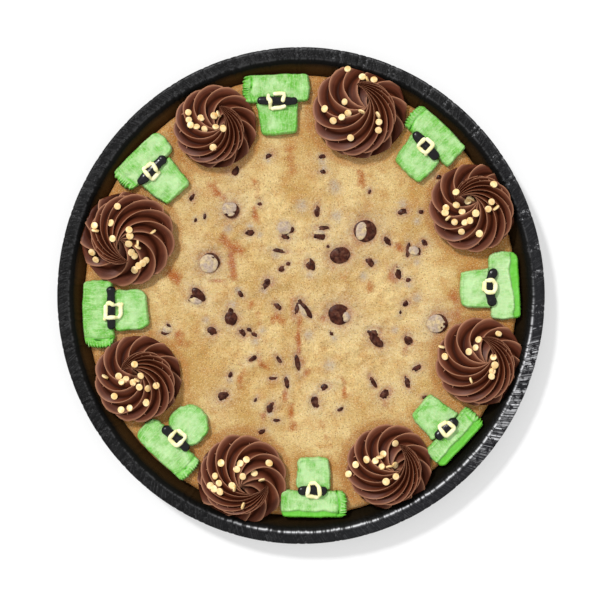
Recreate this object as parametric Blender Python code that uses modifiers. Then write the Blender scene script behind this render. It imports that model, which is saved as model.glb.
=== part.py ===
"""Cookie cake in its black baking tray.

A 12 inch chocolate chip cookie fills a rimmed tray. Round its edge stand eight piped chocolate
rosettes with gold sprinkles, and between them lie eight piped green hats, each with a black band
and a pale yellow buckle. Metres, +Z up. The tray's flat bottom is at z = 0 and its centre is on
the Z axis. Angles of the decorations run clockwise from +Y, as a clock's hours do.
"""

import collections
import math

import bmesh
import bpy
from mathutils import Matrix, Vector, noise
from mathutils.bvhtree import BVHTree

MM = 0.001
GAP = 0.3 * MM  # air kept between two pieces that rest on each other

# Tray
TRAY_LENGTH = 304.8 * MM  # 12 inches across the rim, along Y
TRAY_OVAL = 0.981  # the board has sprung a little: it is narrower along X
TRAY_HEIGHT = 20.5 * MM
TRAY_WALL = 0.9 * MM
TRAY_BASE_RADIUS = 131.0 * MM
TRAY_BASE_BEND = 3.0 * MM
TRAY_RIM_WIDTH = 6.6 * MM
TRAY_RIM_BEND = 1.2 * MM
TRAY_LIP_DROP = 2.6 * MM
TRAY_SIDES = 52

# Cookie
COOKIE_TOP = 14.5 * MM
COOKIE_SHOULDER = 4.5 * MM
COOKIE_SIDES = 48
COOKIE_RELIEF = 0.55 * MM
COOKIE_RELIEF_SCALE = 70.0  # bumps to a metre
COOKIE_FLAT_FROM = 82.0 * MM  # from here outwards the decorations lie on it
CHIP_RISE = 0.16  # of a chip's width

# Rosettes
STAR_TEETH = 12
STAR_DEPTH = 0.26  # how far a groove cuts in, as a share of the star's radius
PATH_START = 3.5 * MM  # the nozzle's circle, where it first touches down
PATH_RADIUS = 13.0 * MM  # and once it has swung out
PATH_TURNS = 1.25
SHRINK_FROM = 0.3  # the stage from which the flow eases off and the star gets smaller
ROSETTE_HEIGHT = 22.0 * MM
ROSETTE_DOME = 0.48  # how much lower the swirl is at its edge
ROSETTE_FOOT = 0.84  # how wide it stands on the cookie, as a share of its full width
FOOT_HEIGHT = 6.0 * MM  # the swirl has its full width from here up
ROSETTE_STAGES = (0.0, 0.05, 0.13, 0.22, 0.32, 0.43, 0.55, 0.67, 0.79, 0.9)
POINTS_ON_TOOTH = 2
WALL_CLEARANCE = 0.6 * MM

# Sprinkles: flat gold discs
SPRINKLE_RADIUS = 2.3 * MM
SPRINKLE_THICK = 1.1 * MM
SPRINKLE_ROOT = 1.4 * MM  # how deep the disc reaches into the icing
SPRINKLE_SIDES = 6
SPRINKLE_PITCH = 4.7 * MM

# Hats
HAT_THICK = 4.0 * MM
HAT_EDGE = 1.3 * MM
HAT_CORNER = 3.0 * MM
BAND_HALF_WIDTH = 2.6 * MM
BAND_HALF_HEIGHT = 1.5 * MM
BUCKLE_LINE = 1.3 * MM  # half the thickness of the piped line

Rosette = collections.namedtuple(
    "Rosette", "angle reach radius tip_angle tip_reach phase sprinkles",
)
Hat = collections.namedtuple(
    "Hat", "angle reach turn brim brim_depth crown crown_end crown_length band buckle",
)

# angle and reach (mm) place the centre, and radius is the swirl's. The nozzle was pulled off at
# tip_angle (from +X, the way the piping runs) and tip_reach (mm). Each run of sprinkles has its
# start (mm from the centre), the way that it heads, and its count.
ROSETTES = (
    Rosette(
        17.8, 117.5, 32.0, 98, 16.0, 25,
        (
            (1.7, 21.7, -15, 2), (-6.9, -0.3, 207, 3), (-8.9, 6.5, 0, 1),
            (12.0, -5.6, 266, 2), (-5.6, -15.3, 0, 1), (-21.2, 2.1, 0, 1),
        ),
    ),
    Rosette(
        63.5, 119.1, 29.9, 160, 14.0, 5,
        (
            (-3.6, 8.1, 250, 2), (-11.5, 1.8, 220, 2), (-17.9, -0.4, 280, 2),
            (-2.9, -7.4, 215, 2), (9.2, 4.0, 0, 1), (12.0, 14.3, 0, 1),
        ),
    ),
    Rosette(
        111.0, 117.2, 29.9, 89, 15.5, 10,
        (
            (-2.2, 9.7, 210, 2), (8.6, 3.7, 275, 3), (-20.7, 4.7, 0, 1),
            (10.4, 16.4, 0, 1), (-0.4, 14.6, 0, 1),
        ),
    ),
    Rosette(
        153.2, 118.6, 28.7, 69, 15.9, 10,
        (
            (-2.8, 8.5, 220, 2), (-3.5, 0.1, 8, 2), (-12.9, 5.3, 200, 2),
            (4.7, -5.0, 208, 2), (3.9, 15.4, 0, 1),
        ),
    ),
    Rosette(
        198.3, 118.5, 30.3, -9, 17.0, 15,
        (
            (2.6, 11.6, 224, 3), (-14.9, 1.7, 260, 3), (-18.3, -4.3, 0, 1),
            (8.6, 3.2, 0, 1), (17.4, 9.2, 0, 1), (-5.0, -4.1, 0, 1),
        ),
    ),
    Rosette(
        242.4, 111.8, 29.2, 147, 11.4, 10,
        (
            (-10.6, -1.5, 20, 2), (1.2, 2.6, 225, 2), (5.1, -5.2, 150, 2),
            (-10.8, -18.5, 10, 2), (-14.8, -10.0, 0, 1), (4.8, -14.0, 0, 1),
        ),
    ),
    Rosette(
        288.6, 112.2, 32.0, -85, 15.5, 20,
        (
            (0.9, 3.7, 270, 3), (2.4, -9.6, 315, 2), (11.2, -14.3, 220, 3),
            (-20.6, -8.3, 306, 2), (-8.8, -1.2, 0, 1), (-9.4, 8.0, 0, 1),
        ),
    ),
    Rosette(
        332.7, 115.3, 27.9, 76, 12.0, 5,
        (
            (-16.1, 9.3, 265, 2), (-11.0, -0.2, 0, 2), (0.6, -0.0, 0, 2),
            (-0.4, 7.3, 0, 1), (-8.6, 5.4, 0, 1), (-0.6, -11.3, 0, 1),
        ),
    ),
)

# angle and reach (mm) place the buckle, and turn swings the hat off the radius. brim, crown and
# crown_end are the ends of each strip to the left and right of the buckle, seen with the brim at
# the top. The rest are lengths. All in mm.
HATS = (
    Hat(353.1, 119.5, 5, (-19.3, 19.3), 17.0, (-13.1, 13.5), (-10.3, 11.3), 19.7, 27.5, 12.0),
    Hat(39.8, 119.3, 4, (-18.8, 18.7), 17.0, (-12.3, 13.4), (-8.4, 12.4), 19.5, 26.0, 9.6),
    Hat(87.3, 116.0, 0, (-20.3, 20.3), 18.2, (-11.6, 13.4), (-9.0, 11.1), 17.6, 25.6, 10.6),
    Hat(132.5, 120.6, 1, (-17.8, 18.6), 15.4, (-11.5, 11.5), (-9.0, 9.2), 21.2, 24.6, 9.8),
    Hat(176.2, 119.8, 4, (-18.6, 19.3), 16.6, (-10.2, 10.6), (-9.4, 9.8), 19.6, 21.8, 10.2),
    Hat(220.9, 115.5, 3, (-20.0, 19.5), 17.8, (-11.4, 12.1), (-10.2, 11.4), 20.4, 25.6, 9.6),
    Hat(265.2, 115.6, 3, (-20.3, 18.7), 17.8, (-13.0, 13.2), (-11.3, 11.4), 20.8, 28.0, 12.2),
    Hat(309.4, 119.0, 6, (-16.4, 19.8), 16.4, (-10.6, 14.6), (-7.2, 12.6), 21.2, 27.0, 10.8),
)

# The chips that stand out of the cookie: place and width, in mm
CHIPS = (
    (39.2, 39.3, 12.0), (23.9, 24.6, 11.5), (23.9, -12.1, 11.0), (83.0, -17.0, 10.0),
    (-56.3, 19.7, 11.0), (-64.3, -1.1, 10.0), (0.6, -7.2, 11.0), (45.3, -25.6, 9.0),
    (-42.2, -13.4, 8.5), (-42.8, 52.1, 8.5), (51.5, -60.5, 8.5), (8.6, -65.4, 8.0),
    (-54.5, -30.9, 8.0), (-8.5, 39.3, 8.0),
)


def clear_scene():
    for obj in list(bpy.data.objects):
        bpy.data.objects.remove(obj, do_unlink=True)


def material(name, colour, roughness):
    made = bpy.data.materials.new(name)
    made.use_nodes = True
    shader = made.node_tree.nodes["Principled BSDF"]
    shader.inputs["Base Color"].default_value = (*colour, 1.0)
    shader.inputs["Roughness"].default_value = roughness
    shader.inputs["Metallic"].default_value = 0.0
    return made


def add_object(name, mesh, collection, finish, crease=35):
    obj = bpy.data.objects.new(name, mesh)
    collection.objects.link(obj)
    mesh.materials.append(finish)
    mesh.shade_smooth()
    mesh.set_sharp_from_angle(angle=math.radians(crease))
    return obj


def mesh_from(bm, name):
    bmesh.ops.recalc_face_normals(bm, faces=bm.faces)
    mesh = bpy.data.meshes.new(name)
    bm.to_mesh(mesh)
    bm.free()
    return mesh


def polar(angle, reach):
    """The point at a clock angle in degrees and a distance from the Z axis."""
    turn = math.radians(angle)
    return Vector((reach * math.sin(turn), reach * math.cos(turn), 0.0))


def ease(t, start, end):
    """0 before start, 1 after end, and a smooth rise between them."""
    u = min(max((t - start) / (end - start), 0.0), 1.0)
    return u * u * (3.0 - 2.0 * u)


def loft(rings, tip):
    """A closed solid through rings of equally many points, capped flat below and with a point above."""
    bm = bmesh.new()
    loops = [[bm.verts.new(point) for point in ring] for ring in rings]
    count = len(loops[0])
    for low, high in zip(loops, loops[1:]):
        for i in range(count):
            bm.faces.new((low[i], low[(i + 1) % count], high[(i + 1) % count], high[i]))
    top = bm.verts.new(tip)
    for i in range(count):
        bm.faces.new((loops[-1][i], loops[-1][(i + 1) % count], top))
    bm.faces.new(list(reversed(loops[0])))
    return bm


def tray_inner_radius(z):
    """The wall's inner face, along Y, at a height."""
    rim_inner = TRAY_LENGTH / 2 - TRAY_RIM_WIDTH
    slope = (rim_inner - TRAY_BASE_RADIUS) / (TRAY_HEIGHT - TRAY_WALL)
    across = TRAY_WALL * math.sqrt(1.0 + slope * slope)
    return TRAY_BASE_RADIUS + slope * z - across


def tray_profile():
    """Half the tray's section, from its centre along the underside and back along the top."""
    outer = TRAY_LENGTH / 2
    wall_top = outer - TRAY_RIM_WIDTH
    top = TRAY_HEIGHT
    under = top - TRAY_WALL
    return [
        (0.0, 0.0),
        (TRAY_BASE_RADIUS - TRAY_BASE_BEND, 0.0),
        (TRAY_BASE_RADIUS + 0.5 * MM, 1.2 * MM),
        (wall_top, under - TRAY_RIM_BEND),
        (wall_top + TRAY_RIM_BEND, under),
        (outer - TRAY_RIM_BEND - TRAY_WALL, under),
        (outer - TRAY_WALL, under - TRAY_RIM_BEND),
        (outer - TRAY_WALL, top - TRAY_LIP_DROP),
        (outer, top - TRAY_LIP_DROP),
        (outer, top - TRAY_RIM_BEND),
        (outer - TRAY_RIM_BEND, top),
        (wall_top + 0.6 * MM, top),
        (wall_top - 0.9 * MM, top - TRAY_RIM_BEND - 0.2 * MM),
        (TRAY_BASE_RADIUS - 0.6 * MM, TRAY_WALL + 0.9 * MM),
        (TRAY_BASE_RADIUS - TRAY_BASE_BEND - 0.6 * MM, TRAY_WALL),
        (0.0, TRAY_WALL),
    ]


def build_tray(collection, finish):
    bm = bmesh.new()
    points = [bm.verts.new((r, 0.0, z)) for r, z in reversed(tray_profile())]
    for a, b in zip(points, points[1:]):
        bm.edges.new((a, b))
    mesh = bpy.data.meshes.new("tray")
    bm.to_mesh(mesh)
    bm.free()
    tray = add_object("tray", mesh, collection, finish)
    turn = tray.modifiers.new("turn", "SCREW")
    turn.axis = "Z"
    turn.steps = TRAY_SIDES
    turn.render_steps = TRAY_SIDES
    turn.use_merge_vertices = True
    turn.merge_threshold = 0.05 * MM
    turn.use_smooth_shade = True
    tray.scale = (TRAY_OVAL, 1.0, 1.0)


def cookie_rings():
    """(radius, height) of each ring of the cookie, from its underside up its side to the middle."""
    low = TRAY_WALL + GAP
    side = [low + 1.2 * MM, COOKIE_TOP - COOKIE_SHOULDER]
    rings = [(tray_inner_radius(low) - 4.0 * MM, low)]
    rings += [(tray_inner_radius(z) - WALL_CLEARANCE - 0.6 * MM, z) for z in side]
    edge = rings[-1][0]
    for degrees in (30, 62, 90):
        turn = math.radians(degrees)
        inwards = COOKIE_SHOULDER * (1.0 - math.cos(turn))
        rings.append((edge - inwards, COOKIE_TOP - COOKIE_SHOULDER * (1.0 - math.sin(turn))))
    rings += [(r * MM, COOKIE_TOP) for r in (112.0, 86.0, 66.0, 46.0, 27.0, 11.0)]
    return rings


def cookie_height(x, y, z):
    """The top's gentle lumps, which fade out where decorations lie."""
    fade = 1.0 - ease(math.hypot(x, y), COOKIE_FLAT_FROM - 14 * MM, COOKIE_FLAT_FROM)
    place = Vector((x, y, 0.0)) * COOKIE_RELIEF_SCALE
    return z + COOKIE_RELIEF * fade * noise.noise(place)


def build_cookie(collection, scratch, finish):
    rings = []
    for radius, z in cookie_rings():
        ring = []
        for i in range(COOKIE_SIDES):
            turn = 2 * math.pi * i / COOKIE_SIDES
            x = radius * math.cos(turn) * TRAY_OVAL
            y = radius * math.sin(turn)
            lumpy = cookie_height(x, y, z) if z == COOKIE_TOP else z
            ring.append((x, y, lumpy))
        rings.append(ring)
    bm = loft(rings, (0.0, 0.0, cookie_height(0.0, 0.0, COOKIE_TOP)))
    cookie = add_object("cookie", mesh_from(bm, "cookie"), collection, finish)
    for number, (x, y, width) in enumerate(CHIPS):
        chip = bmesh.new()
        bmesh.ops.create_uvsphere(chip, u_segments=9, v_segments=4, radius=width * MM / 2)
        bmesh.ops.scale(chip, vec=(1.0, 1.0, 2 * CHIP_RISE), verts=chip.verts)
        bmesh.ops.rotate(chip, matrix=Matrix.Rotation(0.7 * number, 3, "Z"), verts=chip.verts)
        bmesh.ops.translate(chip, vec=(x * MM, y * MM, COOKIE_TOP - 0.4 * MM), verts=chip.verts)
        scratch.objects.link(bpy.data.objects.new("chip", mesh_from(chip, "chip")))
    fuse(cookie, scratch)


def fuse(obj, scratch):
    """Joins every object of the scratch collection to obj in one union, and removes them."""
    join = obj.modifiers.new("fuse", "BOOLEAN")
    join.operation = "UNION"
    join.operand_type = "COLLECTION"
    join.collection = scratch
    join.solver = "MANIFOLD"
    graph = bpy.context.evaluated_depsgraph_get()
    fused = bpy.data.meshes.new_from_object(obj.evaluated_get(graph), depsgraph=graph)
    obj.modifiers.clear()
    obj.data = fused
    for small in list(scratch.objects):
        bpy.data.objects.remove(small, do_unlink=True)


def inside_tray(point):
    """The point, drawn in until it clears the tray's wall. Above the rim it may hang over."""
    if point.z > TRAY_HEIGHT + GAP:
        return point
    reach = math.hypot(point.x / TRAY_OVAL, point.y)
    room = tray_inner_radius(min(point.z, TRAY_HEIGHT - 1.5 * MM)) - WALL_CLEARANCE
    share = min(1.0, room / reach)
    return Vector((point.x * share, point.y * share, point.z))


def path_angle(rosette, t):
    """The way from the swirl's middle to the nozzle. It slows down as the nozzle is pulled off."""
    return math.radians(rosette.tip_angle) - 2 * math.pi * PATH_TURNS * (1.0 - t) ** 1.4


def path_radius(t):
    """How far from the swirl's middle the nozzle stands at stage t of the piping."""
    return PATH_START + (PATH_RADIUS - PATH_START) * ease(t, 0.0, 0.35)


def swirl_centre(rosette, t):
    """Where the nozzle stands at stage t, from 0 at the cookie to 1 at the tip."""
    turn = path_angle(rosette, t)
    out = path_radius(t)
    out += (rosette.tip_reach * MM - out) * ease(t, 0.55, 1.0)
    centre = polar(rosette.angle, rosette.reach * MM)
    return centre + Vector((out * math.cos(turn), out * math.sin(turn), 0.0))


def on_dome(rosette, t, point):
    """The point at stage t's height. Every stage is a dome over the ones before it, on a narrow foot."""
    middle = polar(rosette.angle, rosette.reach * MM)
    away = point - middle
    radius = rosette.radius * MM
    rise = 0.85 * t**0.8 + 0.15 * t**3
    height = ROSETTE_HEIGHT * (1.0 - ROSETTE_DOME * (away.length / radius) ** 2) * rise
    room = radius * (ROSETTE_FOOT + (1.0 - ROSETTE_FOOT) * ease(height, 1.0 * MM, FOOT_HEIGHT))
    placed = middle + away * min(1.0, room / away.length)
    placed.z = COOKIE_TOP + GAP + height
    return placed


def swirl_ring(rosette, t, points_on_tooth):
    """The star that the nozzle leaves at stage t: sharp teeth with hollow grooves between them."""
    swell = 0.86 + 0.14 * ease(t, 0.0, 0.16)
    shrink = 1.0 - max((t - SHRINK_FROM) / (1.0 - SHRINK_FROM), 0.0) ** 1.1
    star = (rosette.radius * MM - path_radius(t)) * swell * shrink
    depth = STAR_DEPTH * (0.3 + 0.7 * ease(t, 0.0, 0.25))
    centre = swirl_centre(rosette, t)
    ring = []
    for i in range(STAR_TEETH * points_on_tooth):
        share = i / points_on_tooth
        turn = math.radians(rosette.phase) + 2 * math.pi * share / STAR_TEETH
        reach = star * (1.0 - depth * abs(math.sin(math.pi * share)) ** 0.8)
        point = centre + Vector((reach * math.cos(turn), reach * math.sin(turn), 0.0))
        ring.append(inside_tray(on_dome(rosette, t, point)))
    return ring


def sprinkle_places(rosette):
    """The middle of each sprinkle, from the runs that they lie in."""
    centre = polar(rosette.angle, rosette.reach * MM)
    for x, y, heading, count in rosette.sprinkles:
        turn = math.radians(heading)
        step = Vector((math.cos(turn), math.sin(turn), 0.0)) * SPRINKLE_PITCH
        for i in range(count):
            yield centre + Vector((x, y, 0.0)) * MM + step * i


def build_rosette(number, rosette, collection, scratch, finish):
    rings = [swirl_ring(rosette, t, POINTS_ON_TOOTH) for t in ROSETTE_STAGES]
    tip = on_dome(rosette, 1.0, swirl_centre(rosette, 1.0))
    bm = loft(rings, tip)
    bmesh.ops.triangulate(bm, faces=bm.faces)
    bmesh.ops.recalc_face_normals(bm, faces=bm.faces)
    surface = BVHTree.FromBMesh(bm)
    name = f"rosette_{number}"
    swirl = add_object(name, mesh_from(bm, name), collection, finish)
    for place in sprinkle_places(rosette):
        above = Vector((place.x, place.y, 0.1))
        spot, normal, _, _ = surface.ray_cast(above, Vector((0.0, 0.0, -1.0)))
        if spot is None or spot.z < COOKIE_TOP + 6 * MM:
            continue
        disc = bmesh.new()
        depth = SPRINKLE_THICK + SPRINKLE_ROOT
        bmesh.ops.create_cone(
            disc, cap_ends=True, segments=SPRINKLE_SIDES,
            radius1=SPRINKLE_RADIUS, radius2=SPRINKLE_RADIUS, depth=depth,
        )
        upright = (normal + Vector((0.0, 0.0, 1.0))).normalized()
        tilt = Vector((0.0, 0.0, 1.0)).rotation_difference(upright).to_matrix()
        bmesh.ops.rotate(disc, matrix=tilt, verts=disc.verts)
        middle = spot + upright * (SPRINKLE_THICK - depth / 2)
        bmesh.ops.translate(disc, vec=middle, verts=disc.verts)
        scratch.objects.link(bpy.data.objects.new("sprinkle", mesh_from(disc, "sprinkle")))
    fuse(swirl, scratch)


def hat_frame(hat):
    """Puts a hat's own axes (X to the right, Y to the rim) at its place on the cookie."""
    turn = Matrix.Rotation(-math.radians(hat.angle + hat.turn), 4, "Z")
    place = polar(hat.angle, hat.reach * MM)
    place.z = COOKIE_TOP + GAP
    return Matrix.Translation(place) @ turn


def rounded(corners, cut, steps=3):
    """The closed outline through some corners, each one rounded off by a short curve."""
    points = []
    for i, corner in enumerate(corners):
        before = Vector(corners[i - 1]) - Vector(corner)
        after = Vector(corners[(i + 1) % len(corners)]) - Vector(corner)
        start = before.normalized() * min(cut, before.length * 0.45)
        end = after.normalized() * min(cut, after.length * 0.45)
        for k in range(steps):
            s = k / (steps - 1)
            points.append(Vector(corner) + start * (1.0 - s) ** 2 + end * s**2)
    return points


def slab(outline, thick, edge):
    """A flat strip of icing: the outline, raised, with its upper edge rounded."""
    bm = bmesh.new()
    base = bm.faces.new([bm.verts.new((p.x, p.y, 0.0)) for p in outline])
    raised = bmesh.ops.extrude_face_region(bm, geom=[base])["geom"]
    lifted = [item for item in raised if isinstance(item, bmesh.types.BMVert)]
    bmesh.ops.translate(bm, vec=(0.0, 0.0, thick), verts=lifted)
    rim = [edge_ for edge_ in bm.edges if all(v.co.z > thick / 2 for v in edge_.verts)]
    bmesh.ops.bevel(
        bm, geom=rim, offset=edge, offset_type="OFFSET", affect="EDGES",
        segments=2, profile=0.5, material=-1,
    )
    return bm


def build_hat(number, hat, collection, finishes):
    green, black, yellow = finishes
    frame = hat_frame(hat)
    left, right = (side * MM for side in hat.brim)
    seam = GAP / 2
    depth = hat.brim_depth * MM
    corners = [(left, seam), (right, seam), (right, depth), (left, depth)]
    brim = slab(rounded(corners, HAT_CORNER), HAT_THICK, HAT_EDGE)
    place_slab(f"brim_{number}", brim, frame, collection, green)
    left, right = (side * MM for side in hat.crown)
    end_left, end_right = (side * MM for side in hat.crown_end)
    end = -hat.crown_length * MM
    corners = [(end_left, end), (end_right, end), (right, -seam), (left, -seam)]
    crown = slab(rounded(corners, HAT_CORNER), HAT_THICK, HAT_EDGE)
    place_slab(f"crown_{number}", crown, frame, collection, green)
    build_band(number, hat, frame, collection, black)
    build_buckle(number, hat, frame, collection, yellow)


def place_slab(name, bm, frame, collection, finish):
    add_object(name, mesh_from(bm, name), collection, finish).matrix_world = frame


def build_band(number, hat, frame, collection, finish):
    """A fat piped line: a stretched ball with a flattened underside."""
    bm = bmesh.new()
    bmesh.ops.create_uvsphere(bm, u_segments=6, v_segments=8, radius=BAND_HALF_WIDTH)
    bmesh.ops.rotate(bm, matrix=Matrix.Rotation(math.pi / 2, 3, "Y"), verts=bm.verts)
    straight = hat.band * MM / 2 - BAND_HALF_WIDTH
    for vert in bm.verts:
        side = 0.0 if abs(vert.co.x) < GAP else math.copysign(1.0, vert.co.x)
        vert.co.x += side * straight
        vert.co.z *= BAND_HALF_HEIGHT / BAND_HALF_WIDTH
    rest = HAT_THICK + GAP + BAND_HALF_HEIGHT
    bmesh.ops.translate(bm, vec=(0.0, 0.0, rest), verts=bm.verts)
    name = f"band_{number}"
    add_object(name, mesh_from(bm, name), collection, finish, 60).matrix_world = frame


def buckle_height(y):
    """The height of the piped line's middle over the hat's underside, where it climbs the band."""
    across = BAND_HALF_WIDTH + BUCKLE_LINE + GAP
    up = BAND_HALF_HEIGHT + BUCKLE_LINE + GAP
    lying = HAT_THICK + GAP + BUCKLE_LINE
    if abs(y) >= across:
        return lying
    over = HAT_THICK + GAP + BAND_HALF_HEIGHT + up * math.sqrt(1.0 - (y / across) ** 2)
    return max(lying, over)


def build_buckle(number, hat, frame, collection, finish):
    half = hat.buckle * MM / 2 - BUCKLE_LINE
    corners = [(-half, -half), (half, -half), (half, half), (-half, half)]
    outline = rounded(corners, 2.0 * MM, 2)
    curve = bpy.data.curves.new("buckle", "CURVE")
    curve.dimensions = "3D"
    curve.bevel_depth = BUCKLE_LINE
    curve.bevel_resolution = 1
    path = []
    for a, b in zip(outline, outline[1:] + outline[:1]):
        path.append(a)
        if abs(a.y - b.y) > half:
            path += [a.lerp(b, 0.25), a.lerp(b, 0.5), a.lerp(b, 0.75)]
    line = curve.splines.new("POLY")
    line.points.add(len(path) - 1)
    line.use_cyclic_u = True
    for point, place in zip(line.points, path):
        point.co = (place.x, place.y, buckle_height(place.y), 1.0)
    guide = bpy.data.objects.new("line", curve)
    collection.objects.link(guide)
    graph = bpy.context.evaluated_depsgraph_get()
    mesh = bpy.data.meshes.new_from_object(guide.evaluated_get(graph), depsgraph=graph)
    bpy.data.objects.remove(guide, do_unlink=True)
    add_object(f"buckle_{number}", mesh, collection, finish, 60).matrix_world = frame


def main():
    clear_scene()
    scene = bpy.context.scene
    cake = bpy.data.collections.new("cookie_cake")
    scratch = bpy.data.collections.new("small_toppings")
    scene.collection.children.link(cake)
    scene.collection.children.link(scratch)

    board = material("black board", (0.022, 0.022, 0.024), 0.42)
    dough = material("baked cookie", (0.62, 0.36, 0.13), 0.75)
    chocolate = material("chocolate icing", (0.085, 0.030, 0.020), 0.42)
    green = material("green icing", (0.20, 0.62, 0.13), 0.5)
    black = material("black icing", (0.012, 0.012, 0.013), 0.25)
    yellow = material("pale yellow icing", (0.90, 0.82, 0.42), 0.5)

    build_tray(cake, board)
    build_cookie(cake, scratch, dough)
    for number, rosette in enumerate(ROSETTES, start=1):
        build_rosette(number, rosette, cake, scratch, chocolate)
    for number, hat in enumerate(HATS, start=1):
        build_hat(number, hat, cake, (green, black, yellow))


main()
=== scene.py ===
# %% [markdown]
# A cookie cake in its black baking tray.
# A 12 inch chocolate chip cookie carries a ring of eight piped chocolate swirls with gold confetti
# and eight flat green hats of icing, each with a black band and a pale yellow buckle.
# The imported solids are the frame. Every one of them is replaced here by a finer piece of the same
# form, so that its ridges, pleats and crumbs are real geometry.

import collections
import math
import random

import bmesh
import bpy
import numpy as np
from mathutils import Matrix, Vector, noise
from mathutils.bvhtree import BVHTree
from mathutils.geometry import interpolate_bezier


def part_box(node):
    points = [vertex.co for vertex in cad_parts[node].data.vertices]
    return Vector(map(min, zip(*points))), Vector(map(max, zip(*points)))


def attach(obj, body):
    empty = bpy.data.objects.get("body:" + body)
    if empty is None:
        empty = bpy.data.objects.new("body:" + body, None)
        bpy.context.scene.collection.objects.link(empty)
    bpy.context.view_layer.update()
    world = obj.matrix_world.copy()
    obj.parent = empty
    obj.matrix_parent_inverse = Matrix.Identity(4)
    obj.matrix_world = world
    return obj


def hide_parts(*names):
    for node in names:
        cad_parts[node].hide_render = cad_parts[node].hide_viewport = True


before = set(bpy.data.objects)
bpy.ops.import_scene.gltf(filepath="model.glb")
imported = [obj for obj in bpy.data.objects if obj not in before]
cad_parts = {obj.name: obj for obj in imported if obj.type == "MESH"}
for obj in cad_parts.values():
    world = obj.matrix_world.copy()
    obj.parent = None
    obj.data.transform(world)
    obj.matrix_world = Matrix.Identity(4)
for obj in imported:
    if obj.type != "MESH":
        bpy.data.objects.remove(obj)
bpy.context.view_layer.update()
MM = 0.001


# %% [markdown]
# The photograph was taken from almost straight above, a little towards the near side, so that the
# rim's lip just shows there. A long lens keeps the swirls from leaning outwards. The camera aims at
# the rim's plane, where one pixel of the 600 pixel frame is 0.612 mm.

# %% Camera
PICTURE = 600  # pixels a side
PIXEL = 0.6123 * MM
CAMERA_AIM = Vector((-0.6 * MM, -3.0 * MM, 20.5 * MM))
CAMERA_DISTANCE = 1.3
CAMERA_TILT = math.radians(0.8)
SENSOR = 36.0
NEAREST = 0.01  # the camera sees nothing closer than this, in m

camera_data = bpy.data.cameras.new("camera")
camera_data.sensor_width = SENSOR
camera_data.lens = SENSOR * CAMERA_DISTANCE / (PICTURE * PIXEL)
camera_data.clip_start = NEAREST
camera = bpy.data.objects.new("camera", camera_data)
bpy.context.scene.collection.objects.link(camera)
lean = Matrix.Rotation(-CAMERA_TILT, 3, "X") @ Vector((0.0, 0.0, CAMERA_DISTANCE))
camera.location = CAMERA_AIM + Vector((0.0, -abs(lean.y), lean.z))
camera.rotation_euler = (CAMERA_TILT, 0.0, 0.0)
bpy.context.scene.camera = camera
print("lens:", round(camera_data.lens, 1), "mm")


# %% [markdown]
# Many things are placed by where the photograph shows them. A pixel gives a line of sight, and the
# thing lies where that line meets a given height or a given surface. Places in millimetres would
# hide that, and would all have to be worked out again if the camera moved.

# %% Lines of sight
def sight(px, py):
    """The direction in which the camera sees a pixel of the photograph."""
    side = (px - PICTURE / 2) * PIXEL
    up = (PICTURE / 2 - py) * PIXEL
    turn = camera.rotation_euler.to_matrix()
    return (turn @ Vector((side, up, -CAMERA_DISTANCE))).normalized()


def seen_at(px, py, height):
    """The point at some height that the camera sees at a pixel."""
    way = sight(px, py)
    return camera.location + way * ((height - camera.location.z) / way.z)


print("the middle of the picture:", seen_at(PICTURE / 2, PICTURE / 2, CAMERA_AIM.z))


# %% [markdown]
# A large soft light stands high at the upper left, and white surroundings fill the shadows. A sun
# with a wide angle lights the whole tray evenly, where a lamp close to it would light one side more.
# The floor is plain and nearly white.

# %% Light and floor
KEY_FROM = Vector((-0.45, 0.50, 0.84))
KEY_STRENGTH = 2.32
KEY_SOFTNESS = math.radians(7)
FILL_STRENGTH = 0.78
WHITE = (1.0, 1.0, 1.0, 1.0)

world = bpy.data.worlds.new("white surroundings")
world.use_nodes = True
background = world.node_tree.nodes["Background"]
background.inputs["Color"].default_value = WHITE
background.inputs["Strength"].default_value = FILL_STRENGTH
bpy.context.scene.world = world
bpy.context.scene.view_settings.view_transform = "Standard"

key_data = bpy.data.lights.new("key", "SUN")
key_data.energy = KEY_STRENGTH
key_data.angle = KEY_SOFTNESS
key = bpy.data.objects.new("key", key_data)
key.rotation_euler = KEY_FROM.to_track_quat("Z", "Y").to_euler()
bpy.context.scene.collection.objects.link(key)

FLOOR_HALF = 2.0
FLOOR_GREY = (0.45, 0.45, 0.45, 1.0)
FLOOR_GLOW = 0.47  # the paper is lit from below too, which keeps its shadows pale and even

paper = bpy.data.materials.new("white paper")
paper.use_nodes = True
paper_shader = paper.node_tree.nodes["Principled BSDF"]
paper_shader.inputs["Base Color"].default_value = FLOOR_GREY
paper_shader.inputs["Roughness"].default_value = 0.8
paper_shader.inputs["Emission Color"].default_value = WHITE
paper_shader.inputs["Emission Strength"].default_value = FLOOR_GLOW
floor_mesh = bpy.data.meshes.new("floor")
bm = bmesh.new()
bmesh.ops.create_grid(bm, x_segments=1, y_segments=1, size=FLOOR_HALF)
bm.to_mesh(floor_mesh)
bm.free()
floor_mesh.materials.append(paper)
floor = bpy.data.objects.new("floor", floor_mesh)
bpy.context.scene.collection.objects.link(floor)
print("key light:", KEY_STRENGTH, "fill:", FILL_STRENGTH)


# %% [markdown]
# Every piece is finished the same way: its normals are turned outwards, it is shaded smooth, rides on
# the one body and stands for the solids that it replaces. Shader nodes are wired by one helper.

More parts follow.
